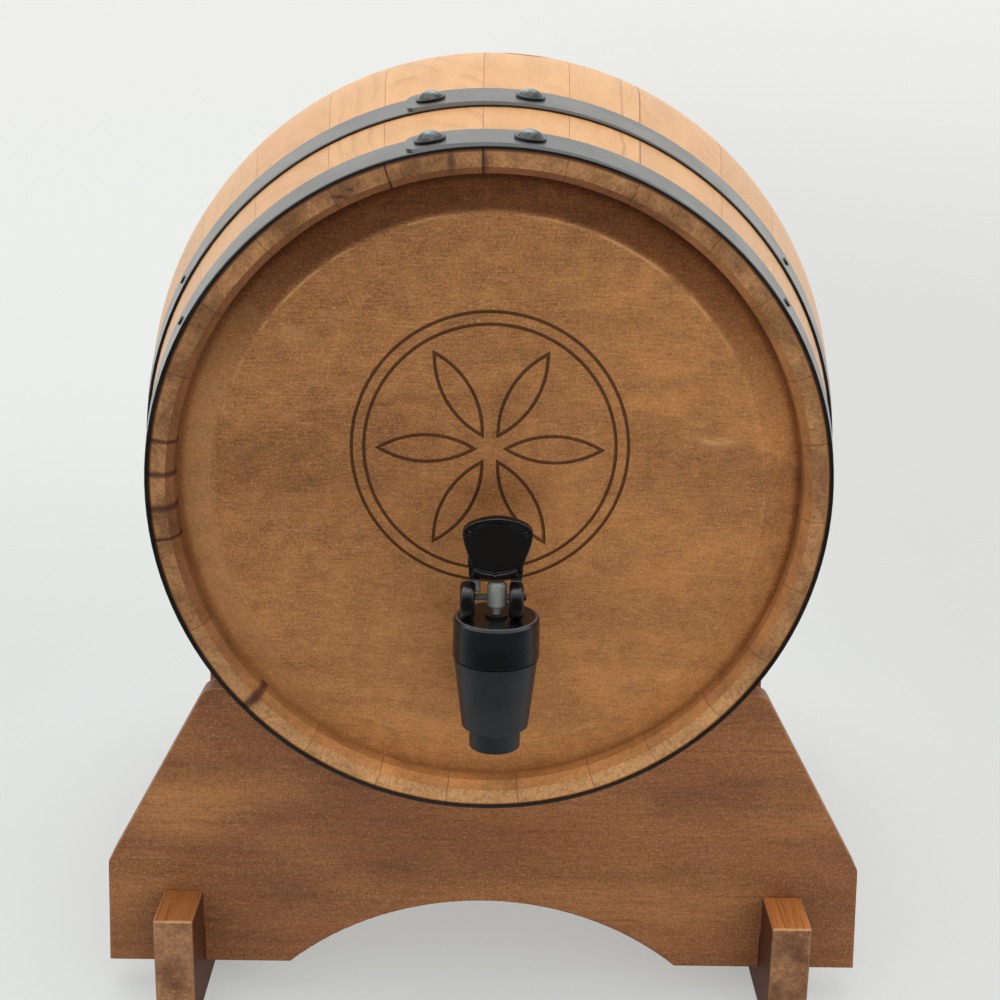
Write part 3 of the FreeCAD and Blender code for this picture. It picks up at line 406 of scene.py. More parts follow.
def stave_finish(index, name):
    finish = Finish("oak_" + name)
    middle, half = stave_span(name)
    low, high = corners(name)
    place = x, y, z = finish.place()
    turned = across, height = finish.turned(x, z, middle)
    radius = finish.length(across, height)
    wood = streak, fibre, pores = grain(finish, y, across, height, index * 3.1)
    mottle = finish.cells(across, y, height, 900, 4.0, 0.75)

    # distance from the joints to the neighbouring staves
    up = finish.times(height, math.sin(half))
    out = finish.times(across, math.cos(half))
    to_start_joint, to_end_joint = finish.add(up, out), finish.minus(up, out)
    joint = finish.least(to_end_joint, to_start_joint)
    edges = ((to_start_joint, middle - half), (to_end_joint, middle + half))

    bare = bare_oak(finish, index, middle, place, turned, wood)
    for distance, edge in edges:
        line = finish.fall(distance, 0.08 * MM, 0.45 * MM, at_joint(OPEN_JOINTS, edge, TIGHT_JOINT))
        bare = finish.shade(bare, line, SEAM_TONE)
    stained = stained_end(finish, index, place, turned, radius, streak, mottle)
    stained = soaked_places(finish, stained, x, z, mottle, edges, middle, half)
    stained = finish.shade(stained, finish.fall(joint, 0.0, 0.30 * MM, 0.20), SEAM_TONE)

    # the stain covers the chime's inside and the first millimetre of the outside
    inside = finish.fall(radius, CHIME_RADIUS - 6 * MM, CHIME_RADIUS - 5.2 * MM)
    from_end = finish.least(finish.add(y, -low.y), finish.minus(high.y, y))
    ends = finish.most(inside, finish.fall(from_end, 1.0 * MM, 1.4 * MM))
    colour = finish.blend(ends, bare, stained)
    roughness = finish.rise(ends, 0.0, 1.0, 0.46, 0.66)
    groove = finish.times(finish.rise(joint, 0.0, 0.3 * MM, -0.4, 0.0),
                          finish.add(0.3, finish.times(ends, 0.7)))
    relief = finish.add(finish.times(fibre, 0.5), finish.times(pores, -0.5),
                        finish.times(finish.times(mottle, ends), 0.8), groove)
    return finish.surface(colour, roughness, finish.bump(relief, WOOD_RELIEF), Specular_IOR_Level=0.3)


# ---------------------------------------------------------------- oak of the heads

HEAD_LIGHT = paint(158, 107, 60)
HEAD_MID = paint(144, 96, 53)
HEAD_DARK = paint(116, 74, 41)
# pale of pores, flecks and light places in the wood; also painted light on the bevel's left and a painted
# highlight at the field's edge
HEAD_PALE_AND_PAINTED_LIGHT = paint(196, 146, 96)
HEAD_PORE = paint(150, 104, 74)
BEVEL_SHADE = paint(176, 152, 118)
SEAT_SHADE = paint(170, 112, 78)
CARVED = paint(64, 34, 18)
CARVED_SHADE = paint(176, 150, 140)

# Plain-sawn figure of the head: one broad arch, darker just inside its edge.
ARCH_TOP = 235.5 * MM
ARCH_MIDDLE = 4 * MM
ARCH_FALL = 2.3

# Patches on the front head: middle and reach, across and up.
DARK_PATCH = ((4 * MM, 204 * MM), (24 * MM, 15 * MM))
BRIGHT_STREAK = ((73 * MM, 228.8 * MM), (13 * MM, 2.0 * MM))
GOLD_PATCH = ((-61 * MM, 254 * MM), (9 * MM, 6 * MM))


def head_arch(finish, x, z, wander, ripple):
    """Darkness of the figure: full just inside the arch's edge, less further down."""
    off = finish.add(x, -ARCH_MIDDLE)
    arch = finish.add(z, finish.times(finish.times(off, off), ARCH_FALL), -ARCH_TOP,
                      finish.swing(wander, 12 * MM), finish.swing(ripple, 4 * MM))
    return finish.times(finish.fall(arch, -1.2 * MM, 1.2 * MM),
                        finish.rise(arch, -42 * MM, -4 * MM, 0.15, 1.0))


def head_rim(finish, colour, radius, dx, dz, cloud, ripple):
    """The rim's bevel: painted shade under the upper chime, painted light on its left, dull elsewhere."""
    bevel = finish.rise(radius, HEAD_FIELD_RADIUS - 0.5 * MM, HEAD_FIELD_RADIUS + 2.0 * MM)
    upper = finish.rise(finish.add(dz, finish.swing(cloud, 30 * MM)), 15 * MM, 85 * MM)
    colour = finish.shade(colour, finish.times(bevel, upper), BEVEL_SHADE)
    on_left = finish.times(bevel, finish.fall(dx, -95 * MM, -40 * MM, 0.25))
    lower = finish.add(1.0, finish.times(upper, -1.0))
    colour = finish.blend(finish.times(on_left, lower), colour, HEAD_PALE_AND_PAINTED_LIGHT)

    # a broken painted highlight where field and bevel meet, and painted shade in the croze
    broken_highlight = finish.times(finish.rise(ripple, 0.40, 0.60), finish.rise(upper, 0.0, 1.0, 0.25, 0.75))
    edge_highlight = finish.times(finish.band(radius, HEAD_FIELD_RADIUS, 0.15 * MM, 0.55 * MM), broken_highlight)
    colour = finish.blend(finish.times(edge_highlight, 0.65), colour, HEAD_PALE_AND_PAINTED_LIGHT)
    seat = finish.rise(radius, CHIME_INNER_RADIUS - 3.4 * MM, CHIME_INNER_RADIUS - 0.6 * MM)
    seat = finish.times(seat, finish.rise(dz, -80 * MM, -20 * MM, 0.1, 0.5))
    return finish.shade(colour, seat, SEAT_SHADE)


def head_carving(finish, colour, depth, radius, x, z, ripple, fibre):
    """Dark stain in the carving, a darker patch about it and two light places in the field."""
    floor = finish.times(finish.rise(depth, 0.25 * CARVING_DEPTH, 0.8 * CARVING_DEPTH),
                         finish.fall(radius, HEAD_FIELD_RADIUS - 2 * MM, HEAD_FIELD_RADIUS - 1 * MM))
    colour = finish.blend(finish.times(floor, 0.74), colour, CARVED)
    dark = soft_patch(finish, x, z, *DARK_PATCH)
    colour = finish.shade(colour, finish.times(dark, 0.45), CARVED_SHADE)
    uneven = finish.add(z, finish.times(x, 0.10), finish.swing(ripple, 3 * MM))
    bright = soft_patch(finish, x, uneven, *BRIGHT_STREAK)
    bright = finish.times(bright, finish.fall(fibre, 0.35, 0.6, 0.8, 0.12))
    gold = finish.times(soft_patch(finish, x, z, *GOLD_PATCH), finish.fall(fibre, 0.3, 0.6, 0.22, 0.08))
    return finish.blend(finish.add(bright, gold), colour, HEAD_PALE_AND_PAINTED_LIGHT)


def head_finish(name, face_y, outward, carved):
    finish = Finish(name)
    x, y, z = finish.place()
    dx, dz = finish.minus(x, AXIS_X), finish.minus(z, AXIS_Z)
    radius = finish.length(dx, dz)
    streak, fibre, pores = grain(finish, x, z, y, 2.0)
    wander = finish.stretched(x, z, y, (75 * MM, 30 * MM, 30 * MM), 7.0, 2.0)
    ripple = finish.stretched(x, z, y, (20 * MM, 6 * MM, 6 * MM), 3.0, 2.0)
    patch = finish.stretched(x, z, y, (60 * MM, 24 * MM, 30 * MM), 11.0, 3.0, 0.55)
    speck = finish.cells(x, y, z, 1300, 3.0, 0.75)
    cloud = finish.cells(x, y, z, 150, 4.0, 0.65)

    # lighter to the right and below
    slope = finish.add(0.5, finish.times(dx, 1.25), finish.times(dz, -1.4))
    colour = finish.blend(finish.rise(patch, 0.30, 0.70), HEAD_MID, HEAD_LIGHT)
    arch = head_arch(finish, x, z, wander, ripple)
    colour = finish.blend(finish.times(arch, 0.32), colour, HEAD_DARK)
    colour = finish.blend(finish.rise(streak, 0.52, 0.78, 0.0, 0.30), colour, HEAD_DARK)
    colour = finish.lively(colour, (fibre, 0.75), (speck, 1.5), (cloud, 0.75), (ripple, 0.30), (slope, 1.0))
    colour = finish.blend(finish.rise(pores, 0.36, 0.25, 0.0, 0.40), colour, HEAD_PALE_AND_PAINTED_LIGHT)
    colour = finish.blend(finish.rise(speck, 0.56, 0.70, 0.0, 0.30), colour, HEAD_PALE_AND_PAINTED_LIGHT)
    colour = finish.shade(colour, finish.rise(pores, 0.64, 0.76, 0.0, 0.35), HEAD_PORE)
    colour = head_rim(finish, colour, radius, dx, dz, cloud, ripple)
    if carved:
        depth = finish.times(finish.minus(y, face_y), outward)
        colour = head_carving(finish, colour, depth, radius, x, z, ripple, fibre)
    relief = finish.add(finish.times(fibre, 0.6), finish.times(speck, 0.5), finish.times(cloud, 0.4))
    return finish.surface(colour, 0.6, finish.bump(relief, WOOD_RELIEF), Specular_IOR_Level=0.25)


# ---------------------------------------------------------------- wood of the stand and the bung

BOARD_LIGHT = paint(159, 107, 61)
BOARD_MID = paint(138, 88, 52)
BOARD_DARK = paint(117, 74, 45)
BOARD_LINE = paint(150, 104, 78)
BOARD_PORE = paint(136, 92, 66)
BOARD_PAINTED_SHADE = paint(196, 170, 152)
RAIL_TOPS_LIT = {"left_rail": paint(160, 101, 52), "right_rail": paint(190, 121, 62)}
RAIL_SIDE_SHADE = paint(92, 52, 28)
RAIL_LINE = paint(170, 112, 78)
RAIL_END_LIGHT = paint(145, 104, 71)
RAIL_END_DARK = paint(108, 70, 44)
# pale flecks and end grain of the wood, and the arrises' wear with a painted highlight
PALE_WOOD_AND_HIGHLIGHT = paint(196, 154, 110)

# Painted light and shade on the front board, a pool of light at its left and shade under the cask: middle
# and reach, across and up.
PAINTED_LIGHT_CORNER = ((-112 * MM, 75 * MM), (34 * MM, 20 * MM))
PAINTED_SHADE_MIDDLE = ((12 * MM, 62 * MM), (75 * MM, 22 * MM))

# Where in the plank each piece of the stand was cut from.
PLANK_PLACES = {"front_board": 9.0, "rear_board": 23.0, "left_rail": 31.0, "right_rail": 41.0}


def board_finish(board):
    low, high = corners(board)
    finish = Finish("stand_" + board)
    x, y, z = finish.place()
    plank = PLANK_PLACES[board]
    streak, fibre, pores = grain(finish, x, z, y, plank)
    broad = finish.stretched(x, z, y, (160 * MM, 24 * MM, 24 * MM), plank, 3.0, 0.6)
    patch = finish.stretched(x, z, y, (80 * MM, 35 * MM, 50 * MM), plank + 3, 2.0)
    speck = finish.cells(x, y, z, 1200, 3.0, 0.75)
    line = finish.stretched(x, z, y, (70 * MM, 1.8 * MM, 1.8 * MM), plank + 7, 2.0)

    colour = finish.blend(finish.rise(broad, 0.32, 0.68), BOARD_DARK, BOARD_MID)
    colour = finish.blend(finish.rise(patch, 0.45, 0.70, 0.0, 0.55), colour, BOARD_LIGHT)
    if board == "front_board":
        # painted light: a pool of light at the board's left
        light = soft_patch(finish, x, z, *PAINTED_LIGHT_CORNER)
        colour = finish.blend(finish.times(light, 0.95), colour, BOARD_LIGHT)
        # painted shade in the board's middle, under the cask
        under_cask_shade = soft_patch(finish, x, z, *PAINTED_SHADE_MIDDLE)
        colour = finish.shade(colour, finish.times(under_cask_shade, 0.45), BOARD_PAINTED_SHADE)
    colour = finish.shade(colour, finish.rise(line, 0.60, 0.72, 0.0, 0.22), BOARD_LINE)
    colour = finish.lively(colour, (fibre, 0.75), (speck, 1.5), (streak, 0.60))
    colour = finish.shade(colour, finish.rise(pores, 0.62, 0.74, 0.0, 0.40), BOARD_PORE)
    colour = finish.blend(finish.rise(pores, 0.36, 0.25, 0.0, 0.25), colour, PALE_WOOD_AND_HIGHLIGHT)
    colour = finish.blend(finish.rise(speck, 0.56, 0.70, 0.0, 0.26), colour, PALE_WOOD_AND_HIGHLIGHT)

    facing = finish.facing()
    sideways = finish.rise(finish.absolute(facing[0]), 0.35, 0.9)
    mottle = finish.cells(x, y, z, 420, 3.0)
    end = finish.blend(finish.rise(mottle, 0.35, 0.65), RAIL_END_DARK, BOARD_MID)
    colour = finish.blend(finish.times(sideways, 0.6), colour, end)

    # a hand-eased arris: pale where the stain is rubbed off between face and edge, with a painted highlight
    # along it
    away = finish.least(finish.minus(y, low.y), finish.minus(high.y, y))
    on_edge = finish.fall(finish.absolute(facing[1]), 0.2, 0.6)
    arris = finish.times(finish.fall(away, 0.5 * MM, 2.2 * MM), on_edge)
    colour = finish.blend(finish.times(arris, finish.rise(mottle, 0.3, 0.6, 0.15, 0.55)), colour, PALE_WOOD_AND_HIGHLIGHT)
    relief = finish.add(finish.times(fibre, 0.6), finish.times(pores, -0.8))
    return finish.surface(colour, 0.56, finish.bump(relief, STAND_RELIEF), Specular_IOR_Level=0.3)


def rail_finish(rail):
    low, high = corners(rail)
    finish = Finish("stand_" + rail)
    x, y, z = finish.place()
    plank = PLANK_PLACES[rail]
    streak, fibre, pores = grain(finish, y, x, z, plank)
    line = finish.stretched(y, x, z, (50 * MM, 1.2 * MM, 1.2 * MM), plank, 2.0)
    mottle = finish.cells(x, y, z, 330, 4.0)
    speck = finish.cells(x, y, z, 900, 2.0)
    patch = finish.cells(x, y, z, 75, 2.0)
    facing = finish.facing()

    # painted light and shade: faces looking up get the lit top colour, the sides the shaded colour
    colour = finish.blend(finish.rise(facing[2], 0.3, 0.8), RAIL_SIDE_SHADE, RAIL_TOPS_LIT[rail])
    colour = finish.shade(colour, finish.rise(line, 0.50, 0.68, 0.0, 0.5), RAIL_LINE)
    colour = finish.lively(colour, (fibre, 0.44), (streak, 0.30), (speck, 0.40))
    end = finish.blend(finish.rise(patch, 0.35, 0.68), RAIL_END_LIGHT, RAIL_END_DARK)
    end = finish.lively(end, (mottle, 1.0), (speck, 1.2))
    end = finish.blend(finish.rise(mottle, 0.60, 0.72, 0.0, 0.25), end, PALE_WOOD_AND_HIGHLIGHT)
    sawn = finish.rise(finish.absolute(facing[1]), 0.7, 0.9)
    colour = finish.blend(sawn, colour, end)

    # arrises between any two faces, rubbed pale and with a painted highlight, most of all at the front of
    # the top
    to_side = finish.least(finish.minus(x, low.x), finish.minus(high.x, x))
    to_end = finish.least(finish.minus(y, low.y), finish.minus(high.y, y))
    to_top = finish.minus(high.z, z)
    for first, second, amount in ((to_side, to_end, 0.28), (to_side, to_top, 0.34), (to_end, to_top, 0.85)):
        ragged = finish.add(finish.most(first, second), finish.times(mottle, -0.8 * MM), 0.4 * MM)
        colour = finish.blend(finish.fall(ragged, 0.25 * MM, 0.95 * MM, amount), colour, PALE_WOOD_AND_HIGHLIGHT)
    relief = finish.add(finish.times(fibre, 0.6), finish.times(pores, -0.6), finish.times(mottle, 0.5))
    return finish.surface(colour, 0.54, finish.bump(relief, STAND_RELIEF), Specular_IOR_Level=0.3)


def bung_finish():
    """Turned hardwood, its rings about a heart 6 mm beside the bung's middle."""
    finish = Finish("bung_hardwood")
    x, y, z = finish.place()
    streak, fibre, pores = grain(finish, z, x, y, 55.0)
    low, high = corners("bung")
    dx = finish.minus(x, (low.x + high.x) / 2)
    dy = finish.minus(y, (low.y + high.y) / 2)
    ring = finish.maths("FRACT", finish.times(finish.length(finish.add(dx, 6 * MM), dy), 1 / (1.5 * MM)))
    colour = finish.blend(finish.rise(streak, 0.3, 0.7), paint(206, 152, 102), paint(222, 170, 118))
    colour = finish.shade(colour, finish.rise(ring, 0.4, 1.0, 0.0, 0.30), paint(176, 132, 96))
    colour = finish.shade(colour, finish.rise(pores, 0.6, 0.74, 0.0, 0.4), paint(140, 98, 70))
    relief = finish.add(finish.times(fibre, 0.5), finish.times(ring, 0.5))
    return finish.surface(colour, 0.55, finish.bump(relief, WOOD_RELIEF))


# ---------------------------------------------------------------- metal, plastic and silicone

# The outer part of a hoop's cut edges gets a painted grey reflection well above the cask's axis.
HOOP_SHEEN_DEPTH = (0.55 * MM, 0.75 * MM)
HOOP_SHEEN_HEIGHT = (50 * MM, 90 * MM)
BONNET_HIGHLIGHT_INSET = 1.15 * MM
BLACKENED_PIN_FROM = 6.5 * MM


def hoop_bore(name, y_from, y_to):
    """Smallest radius of a hoop between two places along the cask."""
    return min(math.hypot(v.co.x - AXIS_X, v.co.z - AXIS_Z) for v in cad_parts[name].data.vertices
               if y_from <= v.co.y <= y_to)


def hoop_finish(name):
    """Black stove enamel on strip steel: even, a little hazy, its outer corners painted grey as a
    reflection.
    """
    finish = Finish("enamel_" + name)
    low, high = corners(name)
    front, rear = hoop_bore(name, low.y, low.y + MM), hoop_bore(name, high.y - MM, high.y)
    x, y, z = finish.place()
    orange_peel = finish.cells(x, y, z, 700, 2.0, 0.5)
    haze = finish.cells(x, y, z, 45, 3.0, 0.5)
    colour = finish.blend(finish.rise(haze, 0.35, 0.7), paint(9, 10, 11), paint(14, 16, 17))
    edge = finish.rise(finish.absolute(finish.facing()[1]), 0.7, 0.9)
    radius = finish.length(finish.add(x, -AXIS_X), finish.add(z, -AXIS_Z))
    depth = finish.minus(radius, finish.rise(y, low.y, high.y, front, rear))
    # painted reflection: grey on the outer part of the cut edges, above the axis
    sheen_corner = finish.times(finish.rise(depth, *HOOP_SHEEN_DEPTH),
                          finish.rise(z, AXIS_Z + HOOP_SHEEN_HEIGHT[0], AXIS_Z + HOOP_SHEEN_HEIGHT[1]))
    colour = finish.blend(finish.times(edge, sheen_corner), colour, paint(112, 114, 113))
    roughness = finish.rise(haze, 0.3, 0.7, 0.34, 0.42)
    return finish.surface(colour, roughness, finish.bump(orange_peel, 0.006 * MM), IOR=1.9)


def rivet_finish():
    """Turned steel, polished on the crown; the rest of the dome painted dark as a reflection."""
    finish = Finish("rivet_polished")
    x, y, z = finish.place()
    scratch = finish.stretched(x, y, z, (4 * MM, 0.2 * MM, 0.6 * MM), 4.0, 2.0)
    dirt = finish.cells(x, y, z, 500, 3.0)
    colour = finish.blend(finish.rise(dirt, 0.45, 0.75), paint(128, 133, 131), paint(76, 80, 78))
    # painted reflection: all of the dome that does not face up is darkened
    up = finish.split(finish.step("ShaderNodeNewGeometry").outputs["Normal"])[2]
    colour = finish.blend(finish.fall(up, 0.70, 0.95, 0.8), colour, paint(24, 26, 26))
    roughness = finish.rise(scratch, 0.3, 0.7, 0.12, 0.20)
    return finish.surface(colour, roughness, finish.bump(scratch, 0.006 * MM), Metallic=1.0)


def washer_finish():
    finish = Finish("washer_blackened")
    wear = finish.cells(*finish.place(), 700, 3.0)
    colour = finish.blend(finish.rise(wear, 0.5, 0.75), paint(12, 13, 14), paint(34, 35, 35))
    return finish.surface(colour, 0.4, finish.bump(wear, 0.01 * MM), IOR=1.6)


def bonnet_rim_highlight(finish, colour, x, y, z):
    """The colour with a painted highlight: a thin pale line round the bonnet's top edge, strongest at its
    front.
    """
    low, high = corners("bonnet")
    dx, dy = finish.add(x, -PIN.x), finish.add(y, -PIN.y)
    highlight_radius = (high.x - low.x) / 2 - BONNET_HIGHLIGHT_INSET
    ring = finish.times(finish.band(finish.length(dx, dy), highlight_radius, 0.12 * MM, 0.30 * MM),
                        finish.fall(dy, -6 * MM, 6 * MM, 1.0, 0.15))
    ring = finish.times(ring, finish.rise(z, high.z - 1.5 * MM, high.z - 0.6 * MM))
    return finish.blend(finish.times(ring, 0.75), colour, paint(150, 154, 156))


def tap_finish(name, dark, light, low_gloss, high_gloss, with_rim_highlight=False):
    """Moulded black plastic with a fine even texture."""
    finish = Finish(name)
    x, y, z = finish.place()
    spark = finish.cells(x, y, z, 2600, 1.0, 0.5)
    haze = finish.cells(x, y, z, 80, 3.0, 0.5)
    colour = finish.blend(finish.rise(haze, 0.35, 0.7), dark, light)
    if with_rim_highlight:
        # painted highlight round the bonnet's top edge
        colour = bonnet_rim_highlight(finish, colour, x, y, z)
    roughness = finish.rise(haze, 0.3, 0.7, low_gloss, high_gloss)
    return finish.surface(colour, roughness, finish.bump(spark, 0.005 * MM), Specular_IOR_Level=0.5)


def acetal_finish(name, dark, light, blackened_from=1.0):
    """Milky plastic; further than blackened_from from the tap's middle it is black."""
    finish = Finish(name)
    x, y, z = finish.place()
    haze = finish.noise(finish.join(finish.times(x, 400), finish.times(y, 400), finish.times(z, 220)), 3.0)
    colour = finish.blend(finish.rise(haze, 0.35, 0.65), dark, light)
    to_side = finish.absolute(finish.add(x, -PIN.x))
    colour = finish.blend(finish.rise(to_side, blackened_from, blackened_from + 0.3 * MM), colour,
                          paint(14, 14, 14))
    return finish.surface(colour, 0.42, finish.bump(haze, 0.02 * MM), Subsurface_Weight=0.25,
                          Subsurface_Scale=0.002)


def seal_finish():
    finish = Finish("seal_silicone")
    haze = finish.cells(*finish.place(), 500, 2.0, 0.5)
    colour = finish.blend(haze, paint(206, 204, 196), paint(222, 220, 212))
    return finish.surface(colour, 0.5, finish.bump(haze, 0.02 * MM), Subsurface_Weight=0.2,
                          Subsurface_Scale=0.002)


def dress(material, *nodes):
    for node in nodes:
        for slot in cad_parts[node].material_slots:
            slot.material = material


for index, stave in enumerate(STAVES):
    dress(stave_finish(index, stave), stave)
dress(head_finish("oak_front_head", HEAD_FACE_Y, 1.0, True), "front_head")
dress(head_finish("oak_rear_head", corners("rear_head")[1].y, -1.0, False), "rear_head")
for board in ("front_board", "rear_board"):
    dress(board_finish(board), board)
for rail in ("left_rail", "right_rail"):
    dress(rail_finish(rail), rail)
dress(bung_finish(), "bung")
for hoop in HOOPS:
    dress(hoop_finish(hoop), hoop)
dress(rivet_finish(), "hoop_rivets")
dress(washer_finish(), "hoop_nails", "rivet_washers")
dress(tap_finish("tap_bonnet_black", paint(14, 17, 21), paint(20, 24, 28), 0.26, 0.32, with_rim_highlight=True),
      "bonnet")
dress(tap_finish("tap_body_black", paint(32, 35, 38), paint(39, 42, 45), 0.36, 0.44),
      "valve_body", "shank_nut")
lever_black = tap_finish("tap_lever_black", paint(12, 9, 8), paint(16, 13, 12), 0.20, 0.26)
dress(acetal_finish("stem_acetal", paint(121, 125, 118), paint(140, 143, 136)), "stem")
dress(acetal_finish("pin_smoked_acetal", paint(74, 76, 73), paint(90, 92, 88), BLACKENED_PIN_FROM),
      "lever_pin")
silicone = seal_finish()
dress(silicone, *SEALS)


# ---------------------------------------------------------------- the lever

# All in millimetres from the middle of the pin: X across, Y to the rear, Z up.
CHEEK_INNER = 4.95
CHEEK_OUTER = 9.5
CAM_RADIUS = 6.0
CAM_OFFSET = 3.0
PIN_HOLE_RADIUS = 1.25
CHEEK_SHIFTS = {-1: -1.9, 1: -1.2}
# Rounding of a cheek's rim: distance in from its face, and what the radius loses there.
CHEEK_RIM = [(0.0, -1.3), (0.16, -0.75), (0.5, -0.32), (1.0, -0.08), (1.6, 0.0)]
ROUND_STEPS = 40
ARM_SHIFTS = {-1: -0.1, 1: -0.8}
ARM_THICK = 3.3
# Side view of an arm, to the rear and up, and how far it flares outwards there.
ARM_OUTLINE = [(-5.6, 3.6, 0.0), (2.2, 2.6, 0.0), (3.0, 6.0, 0.2), (3.0, 9.2, 0.5), (1.6, 13.0, 0.9),
               (0.2, 13.0, 0.9), (-1.6, 8.4, 0.5), (-2.6, 6.2, 0.2)]
PADDLE_LEAN = math.radians(14)
PADDLE_FOOT = 6.4
PADDLE_BACK = 1.4
# Height above the paddle's foot, and the fan's half width there.
FAN = [(0.0, 6.3), (3.2, 7.5), (6.4, 8.5), (9.6, 9.5), (12.8, 10.4), (15.4, 10.8), (17.0, 10.75),
       (18.2, 10.2), (19.2, 9.3), (20.1, 7.9), (20.9, 6.0), (21.5, 3.8), (21.9, 0.9)]
FAN_TOP, FAN_TOP_HALF = FAN[-1]
FAN_WIDEST = 10.8
FAN_ROWS = 96
FAN_COLUMNS = 80
# From this height up the paddle has its raised rim, and a fine ridge at a distance inside it.
RIM_FROM = 15.6
RIM_WIDTH = 1.25
RIDGE_PLACE = (1.65, 2.15)
RIDGE_HALF = 6.8
LIP_TOP = 9.9
LIP_HALF = 6.6
LIP_SAG = 1.5
LIP_HEIGHT = 2.1
LIP_SHIFT = -0.65
LIP_STEPS = 60
LEVER_GRAIN = 0.24 * MM


def new_piece(name, mesh):
    """A new object that holds the finished mesh."""
    data = bpy.data.meshes.new(name)
    mesh.to_mesh(data)
    mesh.free()
    piece = bpy.data.objects.new(name, data)
    bpy.context.scene.collection.objects.link(piece)
    return piece


def loft(mesh, rings):
    """Closed skin through rings of points with the same count, capped at both ends."""
    rows = [[mesh.verts.new(point) for point in ring] for ring in rings]
    count = len(rows[0])
    for first, second in zip(rows, rows[1:]):
        for i in range(count):
            j = (i + 1) % count
            mesh.faces.new((first[i], first[j], second[j], second[i]))
    mesh.faces.new(list(reversed(rows[0])))
    mesh.faces.new(rows[-1])


def half_width(height):
    """Half width of the fan at a height above its foot."""
    for (h0, w0), (h1, w1) in zip(FAN, FAN[1:]):
        if height <= h1:
            share = (height - h0) / (h1 - h0)
            return w0 + (w1 - w0) * share
    return FAN_TOP_HALF


def leaning(u, depth, height):
    """Point of the paddle: u across, depth to the rear, height above its foot along its lean."""
    y = depth * math.cos(PADDLE_LEAN) - height * math.sin(PADDLE_LEAN)
    z = PADDLE_FOOT + depth * math.sin(PADDLE_LEAN) + height * math.cos(PADDLE_LEAN)
    return (u, y, z)


def paddle_front(u, height, outline):
    """Depth of the paddle's front face: a raised rim over the top, a fine ridge under it, a dish."""
    edge = min(math.hypot(u - a, height - b) for a, b in outline)
    rounding = 0.35 * max(0.0, 1 - edge / 0.5) ** 2
    depth = -0.75 - 0.25 * (abs(u) / FAN_WIDEST) ** 2
    if height > RIM_FROM:
        if edge < RIM_WIDTH:
            depth = -1.4
        elif RIDGE_PLACE[0] < edge < RIDGE_PLACE[1] and abs(u) < RIDGE_HALF:
            depth = -1.12
        tab = height < 16.1 or 16.7 < height < 17.2
        if tab and edge < 2.3 and abs(u) > 7.5:
            depth = -1.55
    elif edge < 0.7:
        depth = -1.0
    return depth + rounding


def add_paddle(mesh):
    sides = [-1 + 2 * i / FAN_COLUMNS for i in range(FAN_COLUMNS + 1)]
    outline = [(side * half_width(h / 10), h / 10) for h in range(0, 220) for side in (-1, 1)]
    outline += [(-FAN_TOP_HALF + FAN_TOP_HALF * i / 4, FAN_TOP) for i in range(9)]
    rings = []
    for i in range(FAN_ROWS + 1):
        height = FAN_TOP * i / FAN_ROWS
        width = half_width(height)
        front = [leaning(s * width, paddle_front(s * width, height, outline), height) for s in sides]
        back = [leaning(s * width, PADDLE_BACK - 0.5 * abs(s) ** 8, height) for s in reversed(sides)]
        rings.append(front + back)
    loft(mesh, rings)


def add_lip(mesh):
    """Curved bar under the paddle, with a nick in the middle of its upper edge."""
    rings = []
    for i in range(LIP_STEPS + 1):
        u = -LIP_HALF + 2 * LIP_HALF * i / LIP_STEPS
        top = LIP_TOP - LIP_SAG * (1 - (u / LIP_HALF) ** 2)
        nick = 0.5 * max(0.0, 1 - abs(u) / 0.7)
        low = top - LIP_HEIGHT
        v = u + LIP_SHIFT
        rings.append([(v, -2.5, low), (v, -2.75, low + 0.4), (v, -2.75, top - 0.5 - nick),
                      (v, -2.3, top - nick), (v, 1.8, top + 0.2), (v, 2.0, low + 0.2)])
    loft(mesh, rings)


def add_cheek(mesh, side):
    """Cam disc with a rounded rim and its pin hole."""
    stations = [(CHEEK_INNER + x, r) for x, r in CHEEK_RIM]
    stations += [(CHEEK_OUTER - x, r) for x, r in reversed(CHEEK_RIM)]
    turns = [2 * math.pi * i / ROUND_STEPS for i in range(ROUND_STEPS)]

    def ring(x, middle_y, radius):
        x = side * x + CHEEK_SHIFTS[side]
        return [mesh.verts.new((x, middle_y + radius * math.cos(t), radius * math.sin(t))) for t in turns]

    rows = [ring(x, -CAM_OFFSET, CAM_RADIUS + shrink) for x, shrink in stations]
    inner_bore, outer_bore = (ring(x, 0.0, PIN_HOLE_RADIUS) for x in (CHEEK_INNER, CHEEK_OUTER))
    shell = [inner_bore, *rows, outer_bore, inner_bore]
    for first, second in zip(shell, shell[1:]):
        for i in range(ROUND_STEPS):
            j = (i + 1) % ROUND_STEPS
            quad = (first[i], first[j], second[j], second[i])
            mesh.faces.new(quad if side > 0 else quad[::-1])


def add_arm(mesh, side):
    """Arm that rises from a cheek behind the paddle."""
    ends = []
    for x in (side * CHEEK_INNER, side * (CHEEK_INNER + ARM_THICK)):
        ends.append([(x + side * flare + ARM_SHIFTS[side], y, z) for y, z, flare in reversed(ARM_OUTLINE)])
    loft(mesh, ends if side > 0 else ends[::-1])


